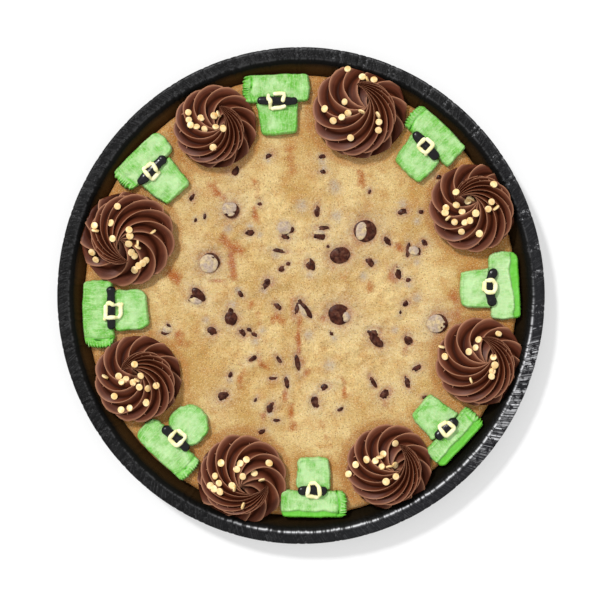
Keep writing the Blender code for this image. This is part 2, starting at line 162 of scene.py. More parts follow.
# %% Finish a piece
def new_piece(name, bm, surface, nodes, crease=None):
    """Makes a finished piece of a bmesh, at the origin, in place of some nodes."""
    bmesh.ops.recalc_face_normals(bm, faces=bm.faces)
    mesh = bpy.data.meshes.new(name)
    bm.to_mesh(mesh)
    bm.free()
    mesh.materials.append(surface)
    mesh.shade_smooth()
    if crease:
        mesh.set_sharp_from_angle(angle=math.radians(crease))
    piece = bpy.data.objects.new(name, mesh)
    bpy.context.scene.collection.objects.link(piece)
    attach(piece, "root")
    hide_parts(*nodes)
    print(name, len(mesh.polygons), "faces")
    return piece


# %% Helpers for shader nodes
def tint(red, green, blue):
    """A screen colour, from 0 to 255, as a shader colour."""
    parts = [part / 255 for part in (red, green, blue)]
    linear = [p / 12.92 if p <= 0.04045 else ((p + 0.055) / 1.055) ** 2.4 for p in parts]
    return (*linear, 1.0)


def wire(tree, kind, sockets=None, **settings):
    """Adds a shader node with its settings, and gives its sockets a value or a link each."""
    made = tree.nodes.new(kind)
    for name, value in settings.items():
        setattr(made, name, value)
    for socket, value in (sockets or {}).items():
        if isinstance(value, bpy.types.NodeSocket):
            tree.links.new(value, made.inputs[socket])
        else:
            made.inputs[socket].default_value = value
    return made


def mixed(tree, share, first, second):
    """The blend of two colours by a mask, as a colour output."""
    node = wire(tree, "ShaderNodeMix", {0: share}, data_type="RGBA")
    for index, colour in ((6, first), (7, second)):
        if isinstance(colour, bpy.types.NodeSocket):
            tree.links.new(colour, node.inputs[index])
        else:
            node.inputs[index].default_value = colour
    return node.outputs[2]


def ranged(tree, value, low, high, start=0.0, end=1.0):
    """A value moved from one range to another, and kept inside it."""
    sockets = {"Value": value, "From Min": low, "From Max": high, "To Min": start, "To Max": end}
    return wire(tree, "ShaderNodeMapRange", sockets).outputs["Result"]


def maths(tree, operation, first, second, clamp=False):
    """The result of a Math node."""
    return wire(tree, "ShaderNodeMath", {0: first, 1: second}, operation=operation,
                use_clamp=clamp).outputs[0]


def times(tree, first, second):
    return maths(tree, "MULTIPLY", first, second)


def speckle(tree, place, scale, detail=2.0, roughness=0.5):
    """Soft noise from 0 to 1 at a place."""
    sockets = {"Vector": place, "Scale": scale, "Detail": detail, "Roughness": roughness}
    return wire(tree, "ShaderNodeTexNoise", sockets).outputs["Fac"]


def object_place(tree):
    return wire(tree, "ShaderNodeTexCoord").outputs["Object"]


def painted(tree, name):
    """A value painted on the piece's points."""
    return wire(tree, "ShaderNodeAttribute", attribute_name=name).outputs["Fac"]


# %% Start a material
def new_finish(name, **shader_values):
    """A material with its Principled BSDF and the values that are the same all over it."""
    made = bpy.data.materials.new(name)
    made.use_nodes = True
    shader = made.node_tree.nodes["Principled BSDF"]
    for socket, value in shader_values.items():
        shader.inputs[socket.replace("_", " ")].default_value = value
    return made, made.node_tree, shader


def bump(tree, shader, height, strength, distance):
    sockets = {"Height": height, "Strength": strength, "Distance": distance}
    node = wire(tree, "ShaderNodeBump", sockets)
    tree.links.new(node.outputs["Normal"], shader.inputs["Normal"])
    tree.links.new(node.outputs["Normal"], shader.inputs["Coat Normal"])


# %% [markdown]
# Two effects come back in several finishes, so they are node groups. Fine grain is the dry, slightly
# pitted skin that dough, icing and board all have at less than a millimetre. Drag lines are the
# fine threads that a rough nozzle leaves along piped icing; they follow the piece's own UV map.

# %% Shared effects
def new_group(name, inputs):
    group = bpy.data.node_groups.new(name, "ShaderNodeTree")
    for socket, kind, value in inputs:
        made = group.interface.new_socket(socket, in_out="INPUT", socket_type=kind)
        if value is not None:
            made.default_value = value
    group.interface.new_socket("Height", in_out="OUTPUT", socket_type="NodeSocketFloat")
    source = group.nodes.new("NodeGroupInput")
    result = group.nodes.new("NodeGroupOutput")
    return group, source.outputs, result.inputs["Height"]


GRAIN, grain_in, grain_out = new_group("fine grain", (
    ("Vector", "NodeSocketVector", None),
    ("Scale", "NodeSocketFloat", 900.0),
    ("Pits", "NodeSocketFloat", 0.5),
))
coarse = wire(GRAIN, "ShaderNodeTexNoise", {
    "Vector": grain_in["Vector"], "Scale": grain_in["Scale"], "Detail": 4.0, "Roughness": 0.65,
}).outputs["Fac"]
cells = wire(GRAIN, "ShaderNodeTexVoronoi", {
    "Vector": grain_in["Vector"], "Scale": grain_in["Scale"],
}).outputs["Distance"]
pitted = times(GRAIN, ranged(GRAIN, cells, 0.0, 0.5, -1.0, 0.0), grain_in["Pits"])
GRAIN.links.new(maths(GRAIN, "ADD", coarse, pitted), grain_out)

DRAG, drag_in, drag_out = new_group("drag lines", (
    ("Vector", "NodeSocketVector", None),
    ("Across", "NodeSocketFloat", 90.0),
    ("Along", "NodeSocketFloat", 4.0),
))
lengths = wire(DRAG, "ShaderNodeCombineXYZ", {"X": drag_in["Across"], "Y": drag_in["Along"]})
stretched = wire(DRAG, "ShaderNodeVectorMath", {
    0: drag_in["Vector"], 1: lengths.outputs["Vector"],
}, operation="MULTIPLY").outputs["Vector"]
DRAG.links.new(speckle(DRAG, stretched, 1.0, 3.0, 0.6), drag_out)


def grain(tree, place, scale, pits):
    return wire(tree, "ShaderNodeGroup", {"Vector": place, "Scale": scale, "Pits": pits},
                node_tree=GRAIN).outputs["Height"]


def drag_lines(tree, place, across, along):
    return wire(tree, "ShaderNodeGroup", {"Vector": place, "Across": across, "Along": along},
                node_tree=DRAG).outputs["Height"]


def uv_place(tree):
    return wire(tree, "ShaderNodeUVMap", uv_map="piping").outputs["UV"]


print("node groups:", [group.name for group in bpy.data.node_groups])


# %% [markdown]
# Helpers that all pieces share: a smooth step, a lazily wandering noise, values painted on points,
# and a grid that is rolled into a tube. A grid's own places, from 0 to 1 each way, say where each of
# its points goes, and its UV map then follows the piping for free.

# %% Helpers for shapes
WELD_WITHIN = 0.004 * MM


def ease(t, start, end):
    """0 before start, 1 after end, and a smooth rise between them."""
    u = min(max((t - start) / (end - start), 0.0), 1.0)
    return u * u * (3.0 - 2.0 * u)


def wander(place, size, seed=0.0):
    """Noise from -1 to 1 that changes over some size, in metres."""
    return noise.noise(Vector((place[0], place[1], place[2])) / size + Vector((seed, 2 * seed, 0.0)))


def polar(angle, reach):
    """The point at a clock angle in degrees and a distance from the Z axis."""
    turn = math.radians(angle)
    return Vector((reach * math.sin(turn), reach * math.cos(turn), 0.0))


def mesh_places(mesh):
    """The places of a mesh's points, as rows of x, y and z."""
    places = np.zeros(len(mesh.vertices) * 3)
    mesh.vertices.foreach_get("co", places)
    return places.reshape(-1, 3)


def paint(mesh, **layers):
    """Gives every point its values, which the finishes read by their names."""
    for name, values in layers.items():
        mesh.attributes.new(name, "FLOAT", "POINT").data.foreach_set("value", values)


def open_rim(bm):
    return [edge for edge in bm.edges if edge.is_boundary]


def rolled(bm, around, along, place, mark=None):
    """Adds a closed body: a grid rolled into a tube, each point where place puts it."""
    grid = bmesh.ops.create_grid(
        bm, x_segments=around, y_segments=along, size=0.5, calc_uvs=True,
    )["verts"]
    painted_layer = bm.verts.layers.float.get("relief")
    for vert in grid:
        share, length = vert.co.x + 0.5, vert.co.y + 0.5
        vert.co = place(share, length)
        if mark:
            vert[painted_layer] = mark(share, length)
    bmesh.ops.remove_doubles(bm, verts=grid, dist=WELD_WITHIN)
    left = [vert for vert in grid if vert.is_valid]
    open_ends = {edge for vert in left for edge in vert.link_edges if edge.is_boundary}
    bmesh.ops.holes_fill(bm, edges=list(open_ends), sides=0)


def new_sheet():
    """An empty bmesh with the UV map and the painted values that the finishes read."""
    bm = bmesh.new()
    bm.loops.layers.uv.new("piping")
    bm.verts.layers.float.new("relief")
    bm.verts.layers.float.new("frost")
    return bm


# %% [markdown]
# The tray is pressed board: the blank is forced into a mould, so its wall and rim gather into small
# pleats, here in pairs every 20 mm. A section gives the form, and a grid is rolled round the middle
# with the section's points along it. The pleats are then pressed into that mesh, deepest on the wall.

# %% The tray's section
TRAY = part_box("tray")
TRAY_REACH = TRAY[1][1]  # the rim's long radius, along Y
TRAY_OVAL = TRAY[1][0] / TRAY[1][1]
TRAY_TOP = TRAY[1][2]
TRAY_WALL = 0.9 * MM
TRAY_BASE = 131.0 * MM
RIM_WIDTH = 7.4 * MM
RIM_BEND = 1.3 * MM
LIP_DROP = 2.6 * MM
LIP_ROUND = 1.8 * MM
FLOOR_RINGS = (40 * MM, 90 * MM)  # the flat floor needs few points
OUTER_WALL_AT = (0.25, 0.5, 0.75, 0.9)  # where the wall has points, as shares of its rise
INNER_WALL_AT = (0.9, 0.78, 0.66, 0.54, 0.4, 0.25)
ROUNDING_STEPS = 6
TRAY_STEPS = 1440


def arc(centre, radius, start, end, steps):
    """Points of a section's rounding, from one angle to another, in degrees."""
    turns = [math.radians(start + (end - start) * i / steps) for i in range(steps + 1)]
    return [(centre[0] + radius * math.cos(a), centre[1] + radius * math.sin(a)) for a in turns]


def tray_section():
    """From the middle of the underside, up the outside, over the rim and back down the inside."""
    bend = TRAY_REACH - RIM_WIDTH
    slope = math.degrees(math.atan2(TRAY_TOP, bend - TRAY_BASE))
    run = bend - TRAY_BASE
    near_ring, far_ring = FLOOR_RINGS
    under = [(0.0, 0.0), (near_ring, 0.0), (far_ring, 0.0), (TRAY_BASE - 3 * MM, 0.0)]
    under += [(TRAY_BASE - 0.8 * MM, 0.25 * MM), (TRAY_BASE + 0.8 * MM, 1.4 * MM)]
    under += [(TRAY_BASE + run * s, TRAY_TOP * s - TRAY_WALL) for s in OUTER_WALL_AT]
    under += [(bend + 0.9 * MM, TRAY_TOP - TRAY_WALL - 0.15 * MM)]
    under += [(TRAY_REACH - 3.2 * MM, TRAY_TOP - TRAY_WALL - 0.1 * MM)]
    lip = TRAY_REACH - 0.9 * MM
    under += [(lip - 0.9 * MM, TRAY_TOP - 1.5 * MM), (lip - 0.2 * MM, TRAY_TOP - LIP_DROP)]
    over = [(TRAY_REACH, TRAY_TOP - LIP_DROP + 0.1 * MM)]
    corner = (TRAY_REACH - LIP_ROUND, TRAY_TOP - LIP_ROUND)
    over += arc(corner, LIP_ROUND, 8, 90, ROUNDING_STEPS)
    over += [(TRAY_REACH - 3.6 * MM, TRAY_TOP), (bend + 1.7 * MM, TRAY_TOP - 0.05 * MM)]
    corner = (bend + 0.9 * MM, TRAY_TOP - RIM_BEND)
    over += arc(corner, RIM_BEND, 90, 90 + slope * 0.95, ROUNDING_STEPS)
    over += [(bend - 0.5 * MM, TRAY_TOP - 0.79 * MM), (bend - 0.9 * MM, TRAY_TOP - 1.07 * MM)]
    over += [(TRAY_BASE + run * s - 1.1 * MM, TRAY_TOP * s) for s in INNER_WALL_AT]
    over += [(TRAY_BASE - 0.4 * MM, 1.7 * MM), (TRAY_BASE - 2.0 * MM, TRAY_WALL)]
    over += [(far_ring, TRAY_WALL), (near_ring, TRAY_WALL), (0.0, TRAY_WALL)]
    return under + over


print("section points:", len(tray_section()))


# %% Where the tray is creased and worn, and where light is painted on it
PLEAT_GROUPS = 46
CREASE_APART = 4.2 * MM
CREASE_HALF = 0.75 * MM
PAIR_STRAYS = 0.18  # how far a pair may lie from its even place, in spacings
PAIR_HALF = (0.35, 0.6)  # half a pair's width, from and to, in times CREASE_APART
LONE_CREASES = 0.4  # the share of pairs with a third, fainter crease beside them
WALL_PULL = 0.5  # how far a crease draws the wall in, in mm
RIM_PUSH = 0.25  # how far it pushes the rim out, in mm
CREASE_SINK = 0.4  # how far it sinks into the rim, in mm
RIM_WAVE = 0.8  # how far the rim waves up and down, in mm
SCUFFED_AT = math.radians(70)  # the clock angle where the rim's rubbed creases get the most painted glint
SCRATCHED_AT = math.radians(115)  # where fine scratches across the rim are painted bright, as glints where they catch the light
SCRATCH_SLANT = -3.4  # how far a scratch turns round the middle, in radians per metre outwards
POLISHED_AT = math.radians(145)  # where the painted highlight on the inner bend is strongest
EDGE_LIT_AT = math.radians(15)  # where the outer rounding catches the light
FADED_AT = math.radians(125)  # where the rim's black is greyest, a painted sheen
BROWNED_AT = math.radians(315)  # where the wall carries most of its painted reflection of the cookie's brown


def pleat_places(seed=4):
    """The angle and depth of each crease: pairs, unevenly spaced, with a few strays."""
    draw = random.Random(seed)
    creases = []
    for group in range(PLEAT_GROUPS):
        middle = 2 * math.pi * (group + draw.uniform(-PAIR_STRAYS, PAIR_STRAYS)) / PLEAT_GROUPS
        half = CREASE_APART * draw.uniform(*PAIR_HALF) / TRAY_REACH
        for side in (-1, 1):
            creases.append((middle + side * half, draw.uniform(0.5, 1.0)))
        if draw.random() < LONE_CREASES:
            creases.append((middle + draw.uniform(-3, 3) * half, draw.uniform(0.2, 0.5)))
    return creases


CREASES = pleat_places()
CREASE_ANGLES = np.array([angle for angle, depth in CREASES])
CREASE_DEPTHS = np.array([depth for angle, depth in CREASES])


def crease_at(angles):
    """How deep the creases are at some angles, from 0 to 1."""
    depth = np.zeros_like(angles)
    for angle, strength in zip(CREASE_ANGLES, CREASE_DEPTHS):
        away = (angles - angle + math.pi) % (2 * math.pi) - math.pi
        depth = np.maximum(depth, strength * np.exp(-((away * TRAY_REACH / CREASE_HALF) ** 2)))
    return depth


print("creases:", len(CREASES))


# %% Press the pleats and paint the wear and the light
def smooth_step(values, start, end):
    u = np.clip((values - start) / (end - start), 0.0, 1.0)
    return u * u * (3.0 - 2.0 * u)


def press_pleats(mesh):
    """Presses the creases into the wall and rim, lets the rim wave and paints its wear and painted light.
    """
    places = mesh_places(mesh)
    reach = np.hypot(places[:, 0], places[:, 1])
    angles = np.arctan2(places[:, 0], places[:, 1])
    on_wall = smooth_step(reach, TRAY_BASE - 1.5 * MM, TRAY_BASE + 5 * MM)
    on_rim = smooth_step(reach, TRAY_REACH - 8.5 * MM, TRAY_REACH - 5.5 * MM)
    wall_run = TRAY_REACH - RIM_WIDTH - TRAY_BASE
    inside = reach < TRAY_BASE + wall_run * places[:, 2] / TRAY_TOP - 0.3 * MM
    creased = crease_at(angles)
    pull = creased * (WALL_PULL * on_wall - RIM_PUSH * on_rim)
    wave = 0.18 * np.sin(angles * 5 + 1.0) + 0.12 * np.sin(angles * 11 + 2.0)
    ripple = 0.08 * np.sin(angles * PLEAT_GROUPS + 0.7) * on_wall * (1.0 - on_rim)
    places[:, 2] += (RIM_WAVE * (wave - 0.3) - CREASE_SINK * creased) * on_rim * MM
    shrink = (reach - (pull + ripple) * MM) / np.maximum(reach, 1e-6)
    places[:, 0] *= shrink
    places[:, 1] *= shrink
    mesh.vertices.foreach_set("co", places.ravel())
    # The creases' pale flecks: real rubbing, with a painted glint that is strongest on one side
    scuffed = 0.12 + 0.88 * np.clip(np.cos(angles - SCUFFED_AT), 0.0, 1.0) ** 2
    # Painted highlights: broken lines along the inner bend, and a faint one on the outer rounding
    bend = np.exp(-(((reach - TRAY_REACH + RIM_WIDTH - 0.2 * MM) / (0.5 * MM)) ** 2))
    outer = np.exp(-(((reach - TRAY_REACH + 1.2 * MM) / (0.4 * MM)) ** 2))
    shine = bend * (0.06 + 0.94 * smooth_step(np.cos(angles - POLISHED_AT), 0.5, 0.75))
    shine += 0.12 * outer * smooth_step(np.cos(angles - EDGE_LIT_AT), 0.5, 0.8)
    # Fine scratches, painted bright as glints on one side of the rim
    scratch = on_rim * (0.04 + 0.96 * smooth_step(np.cos(angles - SCRATCHED_AT), 0.93, 0.985))
    up_high = places[:, 2] > TRAY_TOP - 3 * MM
    # A painted reflection of the cookie's brown on the inner wall, strongest on one side
    browned = (0.5 + 0.5 * np.cos(angles - BROWNED_AT)) * inside
    # A painted sheen: one side of the rim is painted greyer
    faded = np.clip(np.cos(angles - FADED_AT), 0.0, 1.0) * on_rim
    paint(mesh, relief=creased * on_rim * scuffed, shine=shine * up_high,
          scratch=scratch * up_high, browned=browned, faded=faded)


# %% [markdown]
# The board is black and a little leathery, and one side of the rim is painted greyer, a painted sheen.
# Its two bends carry painted highlights in broken lines, its creases are rubbed pale in flecks that
# glint most on one side, fine slanted scratches cross the rim and are painted bright as glints on one
# side, and inside, the wall is painted darker as shade, with a painted reflection of the cookie's
# brown. Dividing a point by its distance from the middle leaves only its direction, so noise on it
# gives radial marks, and turning that direction further the farther out it lies slants them.

# %% The black board's finish
LOW_WALL = (15.0 * MM, 18.5 * MM)  # heights over which the painted reflection of the cookie's brown fades
HIGH_WALL = (18.5 * MM, 20.8 * MM)  # heights over which the wall's painted shade turns into the rim's black
RIM_FACE = (19.5 * MM, 21.3 * MM)  # heights over which the board's gloss sets in


def black_board():
    made, tree, shader = new_finish(
        "black pressed board", Specular_IOR_Level=0.09, Coat_Roughness=0.24,
    )
    place = object_place(tree)
    leather = grain(tree, place, 560.0, 0.6)
    flat = wire(tree, "ShaderNodeVectorMath", {0: place, 1: (1.0, 1.0, 0.0)}, operation="MULTIPLY")
    way = wire(tree, "ShaderNodeVectorMath", {0: flat.outputs[0]}, operation="NORMALIZE")
    threads = speckle(tree, way.outputs[0], 170.0, 4.0, 0.7)
    reach = wire(tree, "ShaderNodeVectorMath", {0: flat.outputs[0]}, operation="LENGTH")
    slanted = wire(tree, "ShaderNodeVectorRotate", {
        "Vector": way.outputs[0], "Angle": times(tree, reach.outputs["Value"], SCRATCH_SLANT),
    }, rotation_type="Z_AXIS").outputs[0]
    hairs = speckle(tree, slanted, 170.0, 4.0, 0.7)
    dashes = speckle(tree, way.outputs[0], 46.0, 3.0, 0.7)
    flecks = speckle(tree, place, 1100.0, 3.0, 0.7)
    broken = speckle(tree, place, 300.0, 3.0, 0.6)
    # Pale flecks on the creases: rubbed board, with painted glints strongest on one side
    creased = times(tree, painted(tree, "relief"), ranged(tree, broken, 0.46, 0.58))
    chipped = times(tree, creased, ranged(tree, flecks, 0.5, 0.6))
    # Fine slanted scratches, painted bright as glints on one side of the rim
    lines = times(tree, ranged(tree, hairs, 0.5, 0.62), ranged(tree, broken, 0.4, 0.52))
    lines = times(tree, painted(tree, "scratch"), lines)
    # A painted highlight along the bends, broken into dashes
    shine = times(tree, painted(tree, "shine"), ranged(tree, dashes, 0.44, 0.52, 0.1, 1.0))
    # Real scratches and flecks, and the painted glints and highlights, all pale the board
    worn = maths(tree, "MAXIMUM", maths(tree, "MAXIMUM", lines, chipped), shine)
    stain = speckle(tree, place, 22.0, 3.0)
    board = mixed(tree, ranged(tree, stain, 0.35, 0.65), tint(5, 5, 6), tint(14, 14, 15))
    board = mixed(tree, ranged(tree, leather, 0.45, 0.8, 0.0, 0.2), board, tint(40, 40, 43))
    # One side of the rim painted greyer, a painted sheen
    board = mixed(tree, times(tree, painted(tree, "faded"), 0.45), board, tint(40, 41, 46))
    height = wire(tree, "ShaderNodeSeparateXYZ", {"Vector": place}).outputs["Z"]
    # Painted shade: the wall below the rim is painted near black
    board = mixed(tree, ranged(tree, height, *HIGH_WALL, 0.9, 0.0), board, tint(7, 6, 4))
    # The lower wall: a painted reflection of the cookie's brown, near black where there is little of it
    low_wall = mixed(tree, painted(tree, "browned"), tint(14, 12, 5), tint(80, 54, 26))
    board = mixed(tree, ranged(tree, height, *LOW_WALL, 0.8, 0.0), board, low_wall)
    tree.links.new(mixed(tree, times(tree, worn, 0.85), board, tint(225, 225, 228)),
                   shader.inputs["Base Color"])
    tree.links.new(ranged(tree, leather, 0.2, 0.8, 0.4, 0.6), shader.inputs["Roughness"])
    tree.links.new(ranged(tree, height, *RIM_FACE, 0.0, 0.2), shader.inputs["Coat Weight"])
    bump(tree, shader, maths(tree, "ADD", leather, times(tree, threads, 0.8)), 0.7, 0.35 * MM)
    return made


# %% Press the tray
def build_tray():
    section = tray_section()
    bm = bmesh.new()
    bm.loops.layers.uv.new("piping")

    def place(share, length):
        radius, height = section[round(length * (len(section) - 1))]
        turn = 2 * math.pi * share
        return Vector((radius * math.sin(turn), radius * math.cos(turn), height))

    rolled(bm, TRAY_STEPS, len(section) - 1, place)
    tray = new_piece("pressed_tray", bm, black_board(), ["tray"])
    press_pleats(tray.data)
    tray.data.transform(Matrix.Diagonal((TRAY_OVAL, 1.0, 1.0, 1.0)))


build_tray()


# %% [markdown]
# The cookie was baked in its tray: a thick round of dough with a browned, rounded shoulder. Its
# chips are where the photograph shows them, in pixels of the picture with their length, width and
# turn. A capped chip is covered by a film of dough, a bare one is dark chocolate at the surface.

# %% Where the chips lie
COOKIE_TOP = 14.5 * MM
Chip = collections.namedtuple("Chip", "px py length width turn")
CHIPS = [Chip(*row) for row in (
    (340.1, 255.3, 19, 15, 15), (339.0, 314.4, 20, 19, 0), (365.2, 231.0, 21, 20, 0),
    (210.3, 262.2, 17.5, 17.5, 0), (438.2, 323.5, 17.5, 17.5, 0), (231.3, 210.3, 15, 14.5, 0),
    (322.0, 228.0, 12.5, 5, 2), (320.0, 236.3, 12, 6.5, -8), (408.4, 250.0, 13, 4.5, 85),
    (419.0, 250.3, 8.5, 4, -82), (297.5, 308.0, 13, 5, 75), (306.5, 310.5, 17, 5.5, -55),
    (300.0, 300.5, 7, 5.5, 0), (165.0, 333.0, 7.5, 5, 0), (168.5, 325.5, 5, 3, -30),
    (198.5, 294.5, 16, 8.5, -45), (191.5, 298.0, 8, 4, 50), (374.0, 332.5, 12, 8.5, 5),
    (376.5, 341.0, 15, 8.5, -38), (231.0, 318.5, 13, 11, 100), (230.5, 309.5, 10, 5.5, 95),
    (192.2, 197.2, 8, 4.5, 60), (204.6, 216.3, 5, 3, 80), (195.5, 220.1, 4, 3, 80),
    (259.6, 204.0, 4.5, 4, 0), (250.0, 232.7, 9, 6, 10), (235.5, 171.0, 9, 6, 70),
    (285.6, 236.5, 9.5, 6.5, -20), (291.2, 230.0, 6, 5, 60), (279.5, 250.7, 13, 4, -8),
    (287.9, 263.7, 4.5, 4, 0), (281.8, 268.7, 6, 5, 30), (269.0, 281.0, 8.5, 7.5, 0),
    (265.0, 286.5, 9, 5.5, 60), (317.4, 211.3, 10, 5.5, 95), (369.6, 191.4, 5, 3, 80),
    (386.8, 240.8, 10, 6.5, -50), (402.5, 212.1, 9, 6, 15), (328.3, 246.5, 3.5, 3, 0),
    (369.7, 262.6, 9, 6.5, -50), (310.3, 264.9, 11, 8, 110), (397.9, 272.5, 12, 7, 105),
    (407.8, 280.2, 6.5, 5, 0), (240.8, 293.8, 7, 5, -50), (277.9, 306.4, 8, 5.5, -40),
    (212.1, 330.9, 8.5, 8, 0), (242.0, 332.4, 9, 5.5, -45), (248.9, 329.7, 5, 4, -40),
    (254.6, 335.0, 7, 4, -30), (252.3, 358.8, 8, 4.5, 35), (279.1, 359.6, 9.5, 4, -58),
    (297.4, 362.5, 15, 5, -80), (230.1, 375.3, 6.5, 4.5, 50), (273.3, 378.3, 8, 3.5, 5),
    (286.7, 382.5, 11, 4.5, 100), (222.8, 396.3, 11, 8.5, 30), (405.9, 303.2, 7, 5, 25),
    (400.3, 312.7, 5, 2.5, 75), (331.3, 333.6, 4.5, 3, -50), (408.5, 340.0, 10, 7.5, 100),
    (325.0, 387.1, 11, 6, 22), (373.0, 381.8, 12, 4.5, -60), (385.3, 394.1, 11, 8, 42),
    (407.4, 382.2, 10.5, 5.5, -75), (315.0, 402.0, 11, 7, 100), (340.1, 409.2, 6, 4, 30),
    (255.6, 399.9, 5, 2.5, 60), (270.5, 407.5, 10, 6.5, 60), (276.5, 420.4, 7, 3.5, 0),
    (262.1, 431.6, 7, 4, 20), (268.7, 156.1, 7, 4.5, 30), (322.5, 156.5, 7, 4.5, 15),
    (424.1, 242.8, 7, 6, -60), (421.0, 211.8, 5, 4, 0), (438.8, 177.1, 6, 4, 20),
    (416.7, 368.3, 9, 6, 42), (425.1, 397.6, 5.5, 4, 20), (323.3, 171.5, 7, 4, 0),
)]

# Films of pale dough that lie on chips, in the same terms
FILMS = [Chip(*row) for row in (
    (361.5, 231.0, 16.5, 10.5, 80), (208.8, 263.6, 17, 16.6, 0), (436.2, 323.7, 17, 16.5, 0),
    (229.6, 209.0, 13.5, 12.5, 0), (319.5, 232.3, 10, 4.5, 0), (413.5, 250.5, 9, 8.5, 0),
    (284.4, 227.5, 12.5, 11.5, 0), (302.5, 310.5, 12, 4.5, -58), (167.0, 329.5, 8, 6.5, 0),
    (195.5, 301.0, 11, 6, -20), (346.4, 317.0, 9.5, 6.5, 80),
)]

# Peaks that melted down in rings: a smaller drop on a big chip
RINGS = [Chip(*row) for row in (
    (341.5, 254.0, 12.5, 8.5, 20), (336.8, 314.2, 13, 13.5, 0), (335.6, 314.0, 7.5, 8, 0),
    (369.0, 231.0, 14, 6, 95), (231.2, 319.5, 8, 6.5, 100),
)]

# Dusty grey patches, where a chip lies just under the dough: middle and width, in pixels
BLOOMS = (
    (228.2, 228.9, 10), (335.1, 188.0, 12), (302.0, 206.0, 13), (336.7, 215.9, 13), (363.5, 276.4, 9),
    (308.4, 335.0, 11), (417.3, 297.8, 11), (250.0, 226.0, 8), (333.4, 183.5, 9), (402.5, 204.0, 9),
    (310.0, 275.0, 8), (375.0, 262.0, 7), (233.0, 305.0, 10), (270.0, 413.0, 9), (324.0, 168.0, 7),
    (228.0, 171.0, 9), (330.0, 365.0, 12), (255.0, 341.0, 9), (262.0, 330.0, 7), (230.0, 380.0, 8),
    (287.0, 378.0, 8), (206.0, 320.0, 8), (417.0, 262.0, 8), (395.0, 330.0, 8), (268.0, 160.0, 7),
    (322.0, 162.0, 8), (372.0, 385.0, 7), (259.6, 235.0, 7), (276.0, 255.0, 10), (264.0, 290.0, 9),
    (417.0, 221.0, 8), (409.0, 285.0, 8), (238.0, 290.0, 8), (334.0, 338.0, 8), (315.0, 397.0, 9),
)

# Streaks where butter and sugar browned: from, to, width in pixels, and strength
STREAKS = (
    (211, 185, 226, 200, 8, 0.8), (254, 182, 258, 196, 6, 0.4), (254, 208, 256, 220, 5, 0.6),
    (222, 236, 240, 253, 9, 0.5), (231, 256, 234, 276, 8, 1.0), (209, 280, 224, 281, 5, 0.8),
    (180, 336, 186, 346, 9, 0.6), (455, 296, 459, 318, 9, 0.8), (250, 303, 250, 309, 6, 0.6),
    (257, 314, 262, 322, 6, 0.4), (276, 313, 280, 322, 5, 0.4), (258, 357, 264, 366, 8, 0.8),
    (286, 386, 285, 398, 6, 0.9), (243, 365, 240, 385, 6, 0.4), (343, 378, 345, 394, 6, 0.8),
    (298, 328, 299, 352, 5, 0.8), (314, 314, 322, 318, 6, 0.6), (292, 405, 293, 428, 6, 0.5),
    (323, 422, 325, 436, 5, 0.5), (265, 413, 262, 420, 5, 0.5), (293, 300, 294, 320, 5, 0.3),
    (388, 270, 394, 278, 8, 0.5), (268, 316, 274, 322, 5, 0.3), (398, 245, 402, 252, 5, 0.4),
    (360, 172, 362, 184, 7, 0.4), (408, 345, 402, 352, 7, 0.5), (385, 405, 382, 412, 6, 0.4),
    (168, 272, 178, 280, 9, 0.5), (276, 318, 284, 322, 5, 0.4), (370, 284, 371, 296, 5, 0.3),
    (332, 272, 345, 278, 8, 0.35), (300, 318, 297, 335, 4, 0.6), (290, 150, 292, 170, 8, 0.3),
    (300, 362, 306, 372, 7, 0.4),
)
CHIP_HUMP = 0.12  # how far the dough is pushed up over a film, as a share of its width
CHIP_MARGIN = 0.3 * MM  # the narrow ring of dough that a chip's edge takes up


def chip_place(chip):
    spot = seen_at(chip.px, chip.py, COOKIE_TOP)
    return spot.x, spot.y


def chip_share(x, y, chip):
    """How far places lie from a chip's middle: 1 is just outside its edge."""
    cx, cy = chip_place(chip)
    turn = math.radians(chip.turn)
    along = (x - cx) * math.cos(turn) + (y - cy) * math.sin(turn)
    across = (y - cy) * math.cos(turn) - (x - cx) * math.sin(turn)
    return np.hypot(along / (chip.length * PIXEL / 2 + CHIP_MARGIN),
                    across / (chip.width * PIXEL / 2 + CHIP_MARGIN))


print("chips:", len(CHIPS), "films:", len(FILMS), "streaks:", len(STREAKS))


# %% [markdown]
# The cookie's top starts as a square grid that is eased into a round, which keeps its faces even all
# over, so that relief and paint are equally fine in the middle and at the rim. Its edge is then
# extruded over the shoulder and down to the tray.

# %% Roll out the cookie
TOP_GRID = 276
SHOULDER = 4.5 * MM
COOKIE_LOW = 1.2 * MM
RELIEF = 0.8 * MM
BROAD_LUMPS = 1 / 70  # how far apart the dough's lumps lie, in m
LUMPS = 5.0 * MM
SMALL_LUMPS = 2.2 * MM
SIDE_LUMPS = 3.0 * MM
DITCH_DEPTH = 0.4 * MM  # the dough sinks round a chip and rises again a little farther out
BANK_HEIGHT = 0.22 * MM
DECORATED_FROM = 82.0 * MM  # from here outwards the icing covers most of the dough
SIDE_GAP = 1.2 * MM  # between the cookie's side and the tray's wall
SIDE_HEIGHTS = (8.0 * MM, 6.0 * MM, 4.0 * MM, 2.4 * MM)


def wall_inside(z):
    """The tray wall's inner radius at a height, along Y."""
    run = TRAY_REACH - RIM_WIDTH - TRAY_BASE
    return TRAY_BASE + run * z / (TRAY_TOP - TRAY_WALL) - 1.13 * MM


def cookie_side():
    """(radius, height) down the cookie's shoulder and side, from where its top ends."""
    edge = wall_inside(COOKIE_TOP - SHOULDER) - SIDE_GAP
    points = arc((edge - SHOULDER, COOKIE_TOP - SHOULDER), SHOULDER, 90, 0, 9)
    points += [(wall_inside(z) - SIDE_GAP, z) for z in SIDE_HEIGHTS]
    return points + [(wall_inside(COOKIE_LOW) - 4.0 * MM, COOKIE_LOW)]


